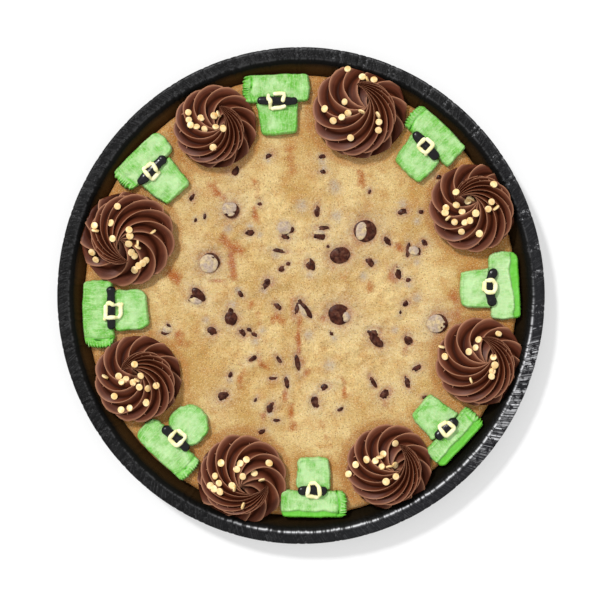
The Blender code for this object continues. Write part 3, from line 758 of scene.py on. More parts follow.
def cookie_form():
    side = cookie_side()
    bm = bmesh.new()
    bmesh.ops.create_grid(bm, x_segments=TOP_GRID, y_segments=TOP_GRID, size=1.0)
    for vert in bm.verts:
        x, y = vert.co.x, vert.co.y
        vert.co.x = x * math.sqrt(1.0 - y * y / 2) * side[0][0]
        vert.co.y = y * math.sqrt(1.0 - x * x / 2) * side[0][0]
        vert.co.z = COOKIE_TOP
    edge = open_rim(bm)
    reach = side[0][0]
    for radius, z in side[1:]:
        made = bmesh.ops.extrude_edge_only(bm, edges=edge)["geom"]
        edge = [item for item in made if isinstance(item, bmesh.types.BMEdge) and item.is_boundary]
        for vert in {vert for item in edge for vert in item.verts}:
            vert.co = Vector((vert.co.x * radius / reach, vert.co.y * radius / reach, z))
        reach = radius
    bmesh.ops.holes_fill(bm, edges=edge, sides=0)
    bmesh.ops.scale(bm, vec=(TRAY_OVAL, 1.0, 1.0), verts=bm.verts)
    return bm


# %% Raise its lumps and paint its bake
def segment_distance(x, y, start, end):
    """How far each place lies from a straight piece of line."""
    dx, dy = end[0] - start[0], end[1] - start[1]
    share = np.clip(((x - start[0]) * dx + (y - start[1]) * dy) / (dx * dx + dy * dy), 0.0, 1.0)
    return np.hypot(x - start[0] - share * dx, y - start[1] - share * dy)


def wander_all(places, size, seed):
    return np.array([wander(place, size, seed) for place in places])


def model_crumb(mesh):
    """Raises the lumps and the chips' domes, and paints where the dough is dusty or browned."""
    places = mesh_places(mesh)
    x, y = places[:, 0].copy(), places[:, 1].copy()
    reach = np.hypot(x, y)
    on_top = smooth_step(places[:, 2], COOKIE_TOP - SHOULDER, COOKIE_TOP - 0.5 * MM)
    bare = 1.0 - smooth_step(reach, DECORATED_FROM - 14 * MM, DECORATED_FROM)
    flat = [Vector((a, b, 0.0)) for a, b in zip(x, y)]
    calm = np.ones_like(x)
    for chip in CHIPS + FILMS:
        calm = np.minimum(calm, 1.0 - 0.8 * np.exp(-((chip_share(x, y, chip) / 1.2) ** 4)))
    lumps = wander_all(flat, BROAD_LUMPS, 0.0) * RELIEF * bare
    lumps += wander_all(flat, LUMPS, 3.0) * (0.15 + 0.65 * bare * calm) * MM
    lumps += wander_all(flat, SMALL_LUMPS, 5.0) * (0.12 + 0.2 * bare * calm) * MM
    bloom, halo = np.zeros_like(x), np.zeros_like(x)
    for chip in CHIPS:
        away = chip_share(x, y, chip)
        lumps -= DITCH_DEPTH * np.exp(-(((away - 1.15) / 0.3) ** 2))
        lumps += BANK_HEIGHT * np.exp(-(((away - 1.8) / 0.35) ** 2))
        halo = np.maximum(halo, np.exp(-(((away - 1.05) / 0.28) ** 2)))
        bloom = np.maximum(bloom, 0.55 * np.exp(-((away / 2.0) ** 2)))
    for film in FILMS:
        away = chip_share(x, y, film)
        lumps += CHIP_HUMP * film.width * PIXEL / 2 * np.clip(1.0 - (away / 1.5) ** 2, 0.0, 1.0)
        bloom = np.maximum(bloom, 0.8 * np.exp(-((away / 1.3) ** 4)))
    for px, py, width in BLOOMS:
        spot = seen_at(px, py, COOKIE_TOP)
        away = np.hypot(x - spot.x, y - spot.y) / (width * PIXEL / 2)
        bloom = np.maximum(bloom, 0.85 * np.exp(-(away ** 2)))
    streak = np.zeros_like(x)
    for ax, ay, bx, by, width, strength in STREAKS:
        start, end = seen_at(ax, ay, COOKIE_TOP), seen_at(bx, by, COOKIE_TOP)
        away = segment_distance(x, y, start, end) / (width * PIXEL / 2)
        streak = np.maximum(streak, strength * np.exp(-(away ** 2)))
    places[:, 2] += lumps * on_top
    rough = wander_all(places, SIDE_LUMPS, 9.0) * 0.3 * MM * (1.0 - on_top)
    rough[places[:, 2] < 2.0 * MM] = 0.0
    places[:, 0] += rough * x / np.maximum(reach, 1e-6)
    places[:, 1] += rough * y / np.maximum(reach, 1e-6)
    mesh.vertices.foreach_set("co", places.ravel())
    paint(mesh, bloom=bloom, halo=halo, streak=streak, crust=crust_at(x, y, on_top))


def crust_at(x, y, on_top):
    """How brown the bake is: most at the shoulder, and more near the rim than in the middle."""
    reach = np.hypot(x / TRAY_OVAL, y)
    return np.clip(0.65 * smooth_step(reach, 84 * MM, 126 * MM) + 0.6 * (1.0 - on_top), 0.0, 1.0)


# %% [markdown]
# Baked dough is tan with an orange cast, mottled at three sizes: broad lighter clouds, patches a few
# millimetres wide, and a grain under a millimetre. The painted values add the dusty film over
# the chips, the browned streaks and the darker shoulder; noise frays their edges.

# %% The dough's finish
def frayed(tree, name, fray, amount=0.5):
    """A painted value whose edge is broken up by noise."""
    broken = ranged(tree, fray, 0.25, 0.75, -amount, amount)
    value = maths(tree, "ADD", painted(tree, name), broken)
    faint = times(tree, painted(tree, name), 3.0)
    return maths(tree, "MINIMUM", value, faint, clamp=True)


def baked_dough():
    made, tree, shader = new_finish(
        "baked dough", Specular_IOR_Level=0.22, Subsurface_Weight=0.2, Subsurface_Scale=0.0025,
    )
    shader.inputs["Subsurface Radius"].default_value = DOUGH_GLOW
    place = object_place(tree)
    clouds = speckle(tree, place, 42.0, 3.0, 0.6)
    patches = speckle(tree, place, 120.0, 4.0, 0.62)
    fine = speckle(tree, place, 760.0, 3.0, 0.75)
    crumbs = grain(tree, place, 1000.0, 0.6)
    dough = mixed(tree, ranged(tree, clouds, 0.38, 0.60), DOUGH_DEEP, DOUGH_PALE)
    dough = mixed(tree, ranged(tree, patches, 0.48, 0.68, 0.0, 0.6), dough, DOUGH_ORANGE)
    dough = mixed(tree, times(tree, frayed(tree, "crust", patches, 0.35), 0.85), dough, DOUGH_BROWN)
    dough = mixed(tree, times(tree, frayed(tree, "streak", patches, 0.75), 1.2), dough, DOUGH_RED)
    dough = mixed(tree, times(tree, frayed(tree, "halo", patches, 0.5), 0.7), dough, DOUGH_RED)
    dough = mixed(tree, times(tree, frayed(tree, "bloom", fine, 0.35), 0.85), dough, DUSTY)
    # Painted shade, warm brown, in a narrow seam beside the icing
    dough = mixed(tree, times(tree, painted(tree, "contact"), 0.55), dough, DOUGH_BUTTERED)
    dough = mixed(tree, ranged(tree, fine, 0.34, 0.58, 0.46, 0.0), dough, DOUGH_GRAIN)
    flecks = ranged(tree, speckle(tree, place, 1500.0, 2.0, 0.6), 0.55, 0.66, 0.0, 0.4)
    dough = mixed(tree, flecks, dough, DOUGH_LIGHT)
    pores = ranged(tree, speckle(tree, place, 1250.0, 2.0, 0.5), 0.32, 0.40, 0.7, 0.0)
    dough = mixed(tree, pores, dough, DOUGH_PORE)
    tree.links.new(dough, shader.inputs["Base Color"])
    tree.links.new(ranged(tree, patches, 0.3, 0.7, 0.62, 0.8), shader.inputs["Roughness"])
    bump(tree, shader, crumbs, 0.8, 0.4 * MM)
    return made


DOUGH_PALE = tint(217, 190, 131)
DOUGH_DEEP = tint(190, 152, 86)
DOUGH_ORANGE = tint(180, 126, 60)
DOUGH_BROWN = tint(184, 118, 50)
DOUGH_RED = tint(164, 84, 20)
DOUGH_GRAIN = tint(150, 110, 56)
DOUGH_LIGHT = tint(238, 222, 178)
DOUGH_PORE = tint(112, 74, 42)
DOUGH_BUTTERED = tint(176, 110, 46)  # painted shade, warm brown, on the dough beside the icing
DUSTY = tint(172, 160, 148)
DOUGH_GLOW = (1.0, 0.55, 0.25)  # how far red, green and blue light go in, compared with each other

cookie = new_piece("chip_cookie", cookie_form(), baked_dough(), ["cookie"])
model_crumb(cookie.data)
COOKIE_SURFACE = BVHTree.FromPolygons(
    [vert.co for vert in cookie.data.vertices], [face.vertices for face in cookie.data.polygons],
)


# %% [markdown]
# A chocolate chip is a drop with a flat foot, and in the oven its peak melts flat. Each one is a
# ball squeezed to its length and width, made uneven by noise and let in until only its top shows.
# A film is a wide pale lens, laid over a chip so that a dark crescent is left beside it.

# %% One melted drop
BIG_CHIP = 14  # from this length on, in pixels, a chip keeps its even outline
CHIP_FOOT = 1.1  # a melted chip's foot reaches a little under the dough all round
CHIP_HALF = 0.9 * MM  # half the thickness of a chip, a ring and a film
RING_HALF = 0.5 * MM
FILM_HALF = 0.8 * MM
CHIP_SHOWN = 0.38 * MM  # how far each stands out of the dough
BIG_CHIP_SHOWN = 0.62 * MM
FILM_SHOWN = 0.86 * MM
SLOW_UNEVEN = 0.26  # how far a chip's outline strays, as a share of its radius
QUICK_UNEVEN = 0.1
CHIP_LUMP = 0.22 * MM
FAR_ABOVE = 0.1  # from where a line is dropped to find a surface, in m


def surface_height(x, y, tree, fallback):
    """The height of a surface under a place."""
    spot = tree.ray_cast(Vector((x, y, FAR_ABOVE)), Vector((0.0, 0.0, -1.0)))[0]
    return spot.z if spot else fallback


def unit_ball():
    """The places and the faces of a ball with a radius of 1."""
    bm = bmesh.new()
    bmesh.ops.create_uvsphere(bm, u_segments=28, v_segments=20, radius=1.0)
    bm.verts.index_update()
    places = [vert.co.copy() for vert in bm.verts]
    faces = [[vert.index for vert in face.verts] for face in bm.faces]
    bm.free()
    return places, faces


BALL_PLACES, BALL_FACES = unit_ball()


def add_lens(bm, chip, number, rise, shown):
    """Adds one flat drop to a bmesh, let into the cookie until only some height of it shows."""
    cx, cy = chip_place(chip)
    half_long = chip.length * PIXEL / 2 * CHIP_FOOT
    half_wide = chip.width * PIXEL / 2 * CHIP_FOOT
    ragged = 1.0 if chip.length < BIG_CHIP else 0.2
    base = surface_height(cx, cy, COOKIE_SURFACE, COOKIE_TOP)
    spin = Matrix.Rotation(math.radians(chip.turn), 3, "Z")
    drop = []
    for spot in BALL_PLACES:
        slow, quick = wander(spot, 0.9, number * 7.3), wander(spot, 0.4, number)
        uneven = 1.0 + (SLOW_UNEVEN * slow + QUICK_UNEVEN * quick) * ragged
        flat = spin @ Vector((spot.x * half_long * uneven, spot.y * half_wide * uneven, 0.0))
        lump = CHIP_LUMP * wander(flat, 1.6 * MM, number * 3.1)
        height = base + shown - rise + spot.z * rise + lump
        drop.append(bm.verts.new((cx + flat.x, cy + flat.y, height)))
    for corners in BALL_FACES:
        bm.faces.new([drop[corner] for corner in corners])


# %% Finishes of chips and films
def chocolate_chip_finish():
    made, tree, shader = new_finish("chip chocolate", Specular_IOR_Level=0.14)
    place = object_place(tree)
    blotches = speckle(tree, place, 330.0, 3.0, 0.6)
    dust = ranged(tree, speckle(tree, place, 420.0, 3.0, 0.65), 0.52, 0.7, 0.0, 0.4)
    dark = mixed(tree, ranged(tree, blotches, 0.4, 0.7), tint(44, 15, 7), tint(84, 40, 24))
    tree.links.new(mixed(tree, dust, dark, tint(132, 92, 72)), shader.inputs["Base Color"])
    tree.links.new(ranged(tree, blotches, 0.3, 0.7, 0.2, 0.5), shader.inputs["Roughness"])
    bump(tree, shader, grain(tree, place, 900.0, 0.3), 0.4, 0.2 * MM)
    return made


def chip_film_finish():
    made, tree, shader = new_finish("dough film over chips", Specular_IOR_Level=0.25)
    place = object_place(tree)
    film = speckle(tree, place, 260.0, 3.0, 0.6)
    fine = speckle(tree, place, 800.0, 3.0, 0.7)
    colour = mixed(tree, ranged(tree, film, 0.42, 0.66), tint(178, 158, 142), tint(208, 184, 136))
    colour = mixed(tree, ranged(tree, fine, 0.36, 0.56, 0.6, 0.0), colour, tint(126, 106, 86))
    tree.links.new(colour, shader.inputs["Base Color"])
    tree.links.new(ranged(tree, film, 0.3, 0.7, 0.5, 0.75), shader.inputs["Roughness"])
    bump(tree, shader, grain(tree, place, 900.0, 0.5), 0.5, 0.25 * MM)
    return made


# %% Lay the chips and their films
def build_chips():
    dark, films = bmesh.new(), bmesh.new()
    for number, chip in enumerate(CHIPS):
        shown = CHIP_SHOWN if chip.length < BIG_CHIP else BIG_CHIP_SHOWN
        add_lens(dark, chip, number, CHIP_HALF, shown)
    for number, ring in enumerate(RINGS):
        add_lens(dark, ring, number + 0.25, RING_HALF, (0.75 - 0.012 * ring.length) * MM)
    for number, film in enumerate(FILMS):
        add_lens(films, film, number + 0.5, FILM_HALF, FILM_SHOWN)
    new_piece("chocolate_chips", dark, chocolate_chip_finish(), ["cookie"])
    new_piece("chip_films", films, chip_film_finish(), ["cookie"])


build_chips()


# %% [markdown]
# A swirl is piped in one go with an open star nozzle: down on the cookie, out, nearly twice round
# anticlockwise, and up and away. What the nozzle leaves is the hull of many stars, each a little
# higher than the last, so the solid is that stack of stars: a grid rolled round the star and
# lofted along the piping. Points crowd at the teeth, whose crests are thin.

# %% Where the swirls stand
Swirl = collections.namedtuple("Swirl", "angle reach radius tip_angle tip_reach phase")
SWIRLS = (
    Swirl(17.8, 117.5, 32.0, 98, 16.0, 25), Swirl(63.5, 119.1, 29.9, 160, 14.0, 5),
    Swirl(111.0, 117.2, 29.9, 89, 15.5, 10), Swirl(153.2, 118.6, 28.7, 69, 15.9, 10),
    Swirl(198.3, 118.5, 30.3, -9, 17.0, 15), Swirl(242.4, 111.8, 29.2, 147, 11.4, 10),
    Swirl(288.6, 112.2, 32.0, -85, 15.5, 20), Swirl(332.7, 115.3, 27.9, 76, 12.0, 5),
)
STAR_TEETH = 12
STAR_DEPTH = 0.29  # how deep a groove cuts into the star, as a share of its radius
GROOVE = 0.11  # how far a groove sinks below its crests, as a share of the swirl's height
PATH_START = 3.5 * MM  # how far from the middle the nozzle touches down
PATH_RADIUS = 11.5 * MM  # and how far from it the nozzle goes round
PATH_TURNS = 1.7
SHRINK_FROM = 0.5  # the stage where the star begins to shrink
SWIRL_HEIGHT = 22.0 * MM
SWIRL_DOME = 0.48  # how far the height falls off towards the edge, as a share
SWIRL_FOOT = 0.84  # how wide the foot is, as a share of the whole swirl
FOOT_HEIGHT = 6.0 * MM
SWIRL_BASE = COOKIE_TOP - 0.1 * MM
POINTS_ON_TOOTH = 10
STAGES = 96
CREST_UNEVEN = 0.04  # how far the star swells and shrinks on its way, as a share of its radius
CREST_RAGGED = 0.02
RIM_CLEARANCE = 0.6 * MM
print("swirls:", len(SWIRLS), "with", STAR_TEETH, "crests each")


# %% The nozzle's path and its star
def path_radius(t):
    """How far from the swirl's middle the nozzle stands at stage t of the piping."""
    return PATH_START + (PATH_RADIUS - PATH_START) * ease(t, 0.0, 0.25)


def nozzle_at(swirl, t):
    """Where the nozzle stands, from 0 at the cookie to 1 at the tip. It slows as it is pulled off."""
    turn = math.radians(swirl.tip_angle) - 2 * math.pi * PATH_TURNS * (1.0 - t) ** 1.3
    out = path_radius(t)
    out += (swirl.tip_reach * MM - out) * ease(t, 0.6, 1.0)
    centre = polar(swirl.angle, swirl.reach * MM)
    return centre + Vector((out * math.cos(turn), out * math.sin(turn), 0.0))


def star_radius(swirl, t):
    """The star swells at the foot, holds, and shrinks to nothing at the tip."""
    swell = 0.86 + 0.14 * ease(t, 0.0, 0.16) - 0.15 * ease(t, 0.2, 0.5)
    shrink = 1.0 - max((t - SHRINK_FROM) / (1.0 - SHRINK_FROM), 0.0) ** 1.1
    return (swirl.radius * MM - path_radius(t)) * swell * shrink


# %% Every point of the stack of stars
def on_dome(swirl, t, point, groove):
    """The point at stage t's height. Every stage is a dome over the ones before, on a narrow foot."""
    middle = polar(swirl.angle, swirl.reach * MM)
    away = point - middle
    radius = swirl.radius * MM
    share = away.length / radius
    rise = 0.85 * t**0.8 + 0.15 * t**3
    sunk = GROOVE * groove * ease(t, 0.05, 0.3) * (1.0 - 0.5 * ease(share, 0.6, 0.95))
    height = max(SWIRL_HEIGHT * (1.0 - SWIRL_DOME * share**2) * (rise - sunk), 0.0)
    room = radius * (SWIRL_FOOT + (1.0 - SWIRL_FOOT) * ease(height, 1.0 * MM, FOOT_HEIGHT))
    placed = middle + away * min(1.0, room / max(away.length, 1e-9))
    placed.z = SWIRL_BASE + height
    return placed


def inside_tray(point):
    """The point, drawn in until it clears the tray's wall. Above the rim it may hang over."""
    if point.z > TRAY_TOP + 0.3 * MM:
        return point
    reach = math.hypot(point.x / TRAY_OVAL, point.y)
    room = wall_inside(min(point.z, TRAY_TOP - 1.5 * MM)) - RIM_CLEARANCE
    share = min(1.0, room / reach)
    return Vector((point.x * share, point.y * share, point.z))


def on_tooth(share):
    """A place round the star, in teeth, with its points crowded towards the crests."""
    tooth = math.floor(share * STAR_TEETH + 1e-6)
    part = share * STAR_TEETH - tooth
    return tooth + (1.0 - math.cos(math.pi * part)) / 2


def groove_at(share):
    """0 on a tooth's thin crest and 1 in the middle of the round groove beside it."""
    return abs(math.sin(math.pi * on_tooth(share))) ** 0.8


def swirl_point(swirl, share, length):
    t = length ** 1.1
    star = star_radius(swirl, t)
    depth = STAR_DEPTH * (0.3 + 0.7 * ease(t, 0.0, 0.25))
    turn = math.radians(swirl.phase) + 2 * math.pi * on_tooth(share) / STAR_TEETH
    ring = Vector((math.cos(turn), math.sin(turn), t * 3.0))
    groove = groove_at(share)
    uneven = 1.0 + CREST_UNEVEN * wander(ring, 0.35, swirl.angle)
    ragged = 1.0 + CREST_RAGGED * (1.0 - groove) * wander(ring * 6, 0.3, swirl.reach)
    reach = star * (1.0 - depth * groove) * uneven * ragged
    point = nozzle_at(swirl, t) + Vector((reach * math.cos(turn), reach * math.sin(turn), 0.0))
    return inside_tray(on_dome(swirl, t, point, groove * min(1.0, star / (6.0 * MM))))


def crest_mark(share, length):
    """1 on a tooth's crest and 0 in the groove."""
    return 1.0 - groove_at(share)


# %% [markdown]
# Chocolate icing is dark brown with a soft satin gloss. The nozzle polishes it along the piping, so
# its grain is drawn out in threads. Its thin crests get a painted highlight, a fine pale line, and its
# grooves a painted shade, and the grooves are duller too. Light let into the icing would be slow, and
# would pale the grooves as well, so the points carry where the crests are, and the finish is mixed by
# that.

# %% The chocolate icing's finish
CREST_THIN = 6.0  # the higher, the finer the painted highlight along a crest


def chocolate_icing():
    made, tree, shader = new_finish(
        "chocolate icing", Specular_IOR_Level=0.03, Coat_Roughness=0.4,
    )
    place, piping = object_place(tree), uv_place(tree)
    lines = drag_lines(tree, piping, 210.0, 9.0)
    cloud = speckle(tree, place, 120.0, 3.0)
    fine = grain(tree, place, 1200.0, 0.3)
    crest = maths(tree, "POWER", painted(tree, "relief"), CREST_THIN)
    valley = ranged(tree, painted(tree, "relief"), 0.0, 0.3, 0.85, 0.0)
    gloss = ranged(tree, painted(tree, "relief"), 0.05, 0.5, 0.0, 0.24)
    tree.links.new(gloss, shader.inputs["Coat Weight"])
    brown = mixed(tree, ranged(tree, cloud, 0.35, 0.65), tint(68, 27, 12), tint(86, 40, 22))
    brown = mixed(tree, ranged(tree, lines, 0.42, 0.68, 0.0, 0.3), brown, tint(112, 60, 37))
    # Painted shade in the grooves, and a painted highlight along each crest
    brown = mixed(tree, valley, brown, tint(26, 4, 0))
    brown = mixed(tree, times(tree, crest, 0.85), brown, tint(204, 146, 112))
    tree.links.new(brown, shader.inputs["Base Color"])
    tree.links.new(ranged(tree, fine, 0.2, 0.8, 0.34, 0.48), shader.inputs["Roughness"])
    bump(tree, shader, maths(tree, "ADD", lines, times(tree, fine, 0.6)), 0.4, 0.25 * MM)
    return made


# %% Pipe the swirls
CHOCOLATE = chocolate_icing()
SWIRL_SURFACES = []  # the confetti are laid on these


def build_swirl(number, swirl):
    bm = new_sheet()

    def place(share, length):
        return swirl_point(swirl, share, length)

    rolled(bm, STAR_TEETH * POINTS_ON_TOOTH, STAGES, place, crest_mark)
    bmesh.ops.recalc_face_normals(bm, faces=bm.faces)
    SWIRL_SURFACES.append(BVHTree.FromBMesh(bm))
    new_piece(f"chocolate_swirl_{number}", bm, CHOCOLATE, [f"rosette_{number}"])


for number, swirl in enumerate(SWIRLS, start=1):
    build_swirl(number, swirl)


# %% [markdown]
# The confetti are pressed sugar discs, 4.4 mm across and 1.1 mm thick. They were dropped on fresh
# icing, so most lie flat across two crests and a few stand on edge in a groove. Each one is where the
# photograph shows it: a line of sight finds the icing, and six drops round it give the slope.

# %% Where the confetti lie
FLAT, ON_EDGE = "flat", "on edge"
CONFETTI = (
    {
        FLAT: (
            (347.8, 69.9), (362.4, 77.1), (373.8, 80.4), (345.0, 101.9), (325.0, 109.0), (348.3, 112.9),
            (342.0, 117.5), (333.7, 120.3), (379.2, 121.7), (378.4, 129.9), (350.6, 137.5),
        ),
        ON_EDGE: ((367.1, 79.2), (361.6, 111.8), (377.1, 114.6)),
    },
    {
        FLAT: (
            (493.4, 185.2), (456.2, 192.5), (469.2, 195.4), (472.4, 198.5), (468.2, 201.7), (456.2, 205.5),
            (462.4, 212.9), (446.4, 208.0), (445.0, 213.2), (454.8, 221.7), (475.9, 213.2), (470.3, 220.6),
            (465.7, 223.4), (490.1, 202.0), (488.2, 208.3), (461.5, 231.1), (479.8, 233.6),
        ),
        ON_EDGE: ((448.2, 218.2), (495.9, 207.3)),
    },
    {
        FLAT: (
            (496.6, 337.0), (478.9, 340.0), (475.9, 347.9), (469.3, 351.7), (445.8, 356.1), (493.7, 357.7),
            (494.7, 364.9), (491.9, 370.9), (491.6, 376.1),
        ),
        ON_EDGE: ((441.4, 346.7), (471.2, 380.0)),
    },
    {
        FLAT: (
            (394.5, 443.0), (383.6, 454.2), (375.9, 461.9), (367.1, 459.5), (355.9, 464.7), (348.8, 474.0),
            (382.5, 467.2), (394.7, 465.1), (395.9, 476.3), (386.0, 481.6),
        ),
        ON_EDGE: ((379.7, 457.0), (389.5, 466.8)),
    },
    {
        FLAT: (
            (246.5, 459.9), (240.4, 463.9), (236.7, 470.1), (242.1, 476.4), (254.2, 473.6), (268.6, 463.8),
            (221.8, 463.4), (216.0, 476.0), (219.8, 483.1), (210.4, 485.9), (214.9, 488.7), (220.7, 491.1),
            (232.1, 485.5),
        ),
        ON_EDGE: ((264.0, 483.1), (234.9, 488.3), (243.1, 505.5)),
    },
    {
        FLAT: (
            (134.4, 364.6), (141.1, 375.5), (119.3, 376.2), (121.8, 382.2), (126.7, 380.1), (134.0, 382.2),
            (139.5, 387.1), (147.4, 388.2), (156.5, 385.4), (114.9, 396.1), (147.0, 402.5), (121.4, 409.9),
            (130.2, 408.2),
        ),
        ON_EDGE: ((137.5, 380.4), (105.3, 376.6)),
    },
    {
        FLAT: (
            (117.2, 206.8), (111.9, 223.6), (112.8, 238.7), (94.7, 225.7), (93.5, 250.3), (98.1, 256.6),
            (128.7, 230.6), (129.1, 236.2), (128.7, 243.6), (131.2, 252.4), (134.4, 255.9), (145.6, 260.1),
            (142.4, 262.9), (139.3, 265.7), (135.1, 269.9),
        ),
        ON_EDGE: ((95.4, 230.6), (137.2, 243.3), (137.9, 247.1), (152.9, 232.0)),
    },
    {
        FLAT: (
            (188.2, 112.8), (188.7, 120.2), (190.6, 125.1), (200.5, 119.1), (196.6, 128.2), (204.9, 128.9),
            (213.8, 116.0), (215.5, 127.9), (223.4, 128.2), (213.4, 146.5),
        ),
        ON_EDGE: ((218.7, 114.2),),
    },
)
DISC_RADIUS = 2.2 * MM
DISC_THICK = 1.1 * MM
DISC_STEEPEST = math.radians(42)
DISC_CORNERS = 22
DISC_BEVEL = 0.28 * MM
DISC_SUPPORTS = 6
DISC_SETTLED = 0.75  # how far a disc lies up on the highest crest under it; it sinks in for the rest
DISC_PROUD = 0.35
EDGE_PROUD = 0.4
draw = random.Random(7)
print("confetti:", sum(len(places[FLAT]) + len(places[ON_EDGE]) for places in CONFETTI))


# %% Find a seat for a disc
def disc_seat(surface, px, py):
    """Where a disc seen at a pixel touches down, and the way that it faces."""
    way = sight(px, py)
    middle = surface.ray_cast(camera.location, way)[0]
    if middle is None:
        return None, None
    ring = []
    for step in range(DISC_SUPPORTS):
        turn = math.radians(360 / DISC_SUPPORTS * step)
        start = middle + Vector((math.cos(turn), math.sin(turn), 0.0)) * DISC_RADIUS * 0.8
        touch = surface.ray_cast(start + Vector((0.0, 0.0, 0.05)), Vector((0.0, 0.0, -1.0)))[0]
        if touch is None or touch.z < middle.z - 4 * MM:
            touch = Vector((start.x, start.y, middle.z - 1.5 * MM))
        ring.append(touch)
    slopes = [(ring[i - 1] - middle).cross(ring[i] - middle) for i in range(DISC_SUPPORTS)]
    normal = sum(slopes, Vector()).normalized()
    if normal.z < 0:
        normal.negate()
    lift = max((touch - middle).dot(normal) for touch in ring)
    return middle + normal * max(lift * DISC_SETTLED, 0.0), normal


def limited(normal, steepest):
    """The normal, tipped back until the disc is no steeper than the icing would hold."""
    upright = Vector((0.0, 0.0, 1.0))
    lean = normal.angle(upright)
    if lean <= steepest:
        return normal
    return upright.slerp(normal, steepest / lean)


# %% Scatter the confetti
def add_disc(bm, seat, normal, spin):
    made = bmesh.ops.create_cone(
        bm, cap_ends=True, segments=DISC_CORNERS, radius1=DISC_RADIUS, radius2=DISC_RADIUS,
        depth=DISC_THICK,
    )["verts"]
    size = draw.uniform(0.93, 1.06)
    narrow = draw.uniform(0.94, 1.0)
    turn = Vector((0.0, 0.0, 1.0)).rotation_difference(normal).to_matrix()
    turn = turn @ Matrix.Rotation(spin, 3, "Z") @ Matrix.Diagonal((size, size * narrow, 1.0))
    bmesh.ops.transform(bm, matrix=turn.to_4x4(), verts=made)
    bmesh.ops.translate(bm, vec=seat, verts=made)


def confetti_finish():
    made, tree, shader = new_finish("gold confetti", Specular_IOR_Level=0.5)
    place = object_place(tree)
    blotch = speckle(tree, place, 420.0, 3.0, 0.6)
    gold = mixed(tree, ranged(tree, blotch, 0.3, 0.65), tint(226, 182, 104), tint(250, 224, 172))
    grazing = wire(tree, "ShaderNodeLayerWeight", {"Blend": 0.35}).outputs["Facing"]
    tree.links.new(gold, shader.inputs["Base Color"])
    tree.links.new(ranged(tree, grazing, 0.0, 1.0, 0.34, 0.5), shader.inputs["Roughness"])
    bump(tree, shader, grain(tree, place, 1500.0, 0.4), 0.4, 0.15 * MM)
    return made


def build_confetti():
    bm = bmesh.new()
    for surface, places in zip(SWIRL_SURFACES, CONFETTI):
        for px, py in places[FLAT]:
            seat, normal = disc_seat(surface, px, py)
            if seat is not None:
                normal = limited(normal, DISC_STEEPEST)
                spin = draw.uniform(0, math.pi)
                add_disc(bm, seat + normal * DISC_THICK * DISC_PROUD, normal, spin)
        for px, py in places[ON_EDGE]:
            seat, normal = disc_seat(surface, px, py)
            if seat is not None:
                heading = draw.uniform(0, 2 * math.pi)
                side = Vector((math.cos(heading), math.sin(heading), 0.25)).normalized()
                add_disc(bm, seat + Vector((0.0, 0.0, DISC_RADIUS * EDGE_PROUD)), side, 0.0)
    rims = [edge for edge in bm.edges if edge.calc_face_angle(0.0) > math.radians(60)]
    bmesh.ops.bevel(
        bm, geom=rims, offset=DISC_BEVEL, offset_type="OFFSET", affect="EDGES", segments=2,
        profile=0.5, material=-1,
    )
    nodes = [f"rosette_{number}" for number in range(1, 9)]
    new_piece("gold_confetti", bm, confetti_finish(), nodes, crease=50)


build_confetti()


# %% [markdown]
# A hat is two strips piped with a flat toothed nozzle, a long one for the brim and a short one for the
# crown, each pulled along its length. A strip has upright edges, fine ridges and an end that
# ruffles where the bag paused. It is a grid with rounded corners, raised like a pillow, whose edge is
# extruded down to the cookie.

# %% Where the hats lie
Hat = collections.namedtuple(
    "Hat", "angle reach turn brim brim_depth crown crown_end crown_length",
)
HATS = (
    Hat(353.1, 119.5, 5, (-19.3, 19.3), 17.0, (-13.1, 13.5), (-10.3, 11.3), 19.7),
    Hat(39.8, 119.3, 4, (-18.8, 18.7), 17.0, (-12.3, 13.4), (-8.4, 12.4), 19.5),
    Hat(87.3, 116.0, 0, (-20.3, 20.3), 18.2, (-11.6, 13.4), (-9.0, 11.1), 17.6),
    Hat(132.5, 120.6, 1, (-17.8, 18.6), 15.4, (-11.5, 11.5), (-9.0, 9.2), 21.2),
    Hat(176.2, 119.8, 4, (-18.6, 19.3), 16.6, (-10.2, 10.6), (-9.4, 9.8), 19.6),
    Hat(220.9, 115.5, 3, (-20.0, 19.5), 17.8, (-11.4, 12.1), (-10.2, 11.4), 20.4),
    Hat(265.2, 115.6, 3, (-20.3, 18.7), 17.8, (-13.0, 13.2), (-11.3, 11.4), 20.8),
    Hat(309.4, 119.0, 6, (-16.4, 19.8), 16.4, (-10.6, 14.6), (-7.2, 12.6), 21.2),
)
HAT_THICK = 4.0 * MM

# How each strip differs, in mm: how far its left and right ends and its inner and outer sides swell,
# its corners' radii (left, right), where its outer part folds down, and how deep its left end ruffles.
# Frost says how whitish it has dried: 0 is the usual, and less is greener.
StripLook = collections.namedtuple("StripLook", "left right inner outer corners fold ruffle frost")
BRIMS = (
    StripLook(1.6, 0.6, 0.3, 0.3, (2.6, 2.4), 0.0, 1.0, -0.1),
    StripLook(1.6, 0.3, -0.2, 0.7, (2.6, 1.8), 0.0, 0.8, -0.15),
    StripLook(0.6, 0.4, 0.0, 0.2, (4.6, 2.6), 4.6, 0.2, 0.6),
    StripLook(1.2, 1.2, 0.0, 0.4, (2.0, 3.0), 4.8, 0.7, 0.15),
    StripLook(1.5, 1.0, -0.3, 0.2, (2.2, 2.6), 3.6, 1.0, 0.15),
    StripLook(0.8, 1.0, -0.3, 0.4, (2.2, 4.4), 0.0, 0.8, 0.0),
    StripLook(1.6, 0.5, 0.2, 1.2, (3.4, 2.6), 0.0, 1.0, -0.3),
    StripLook(1.8, 1.2, 0.3, 0.5, (2.4, 3.6), 0.0, 1.0, 0.15),
)
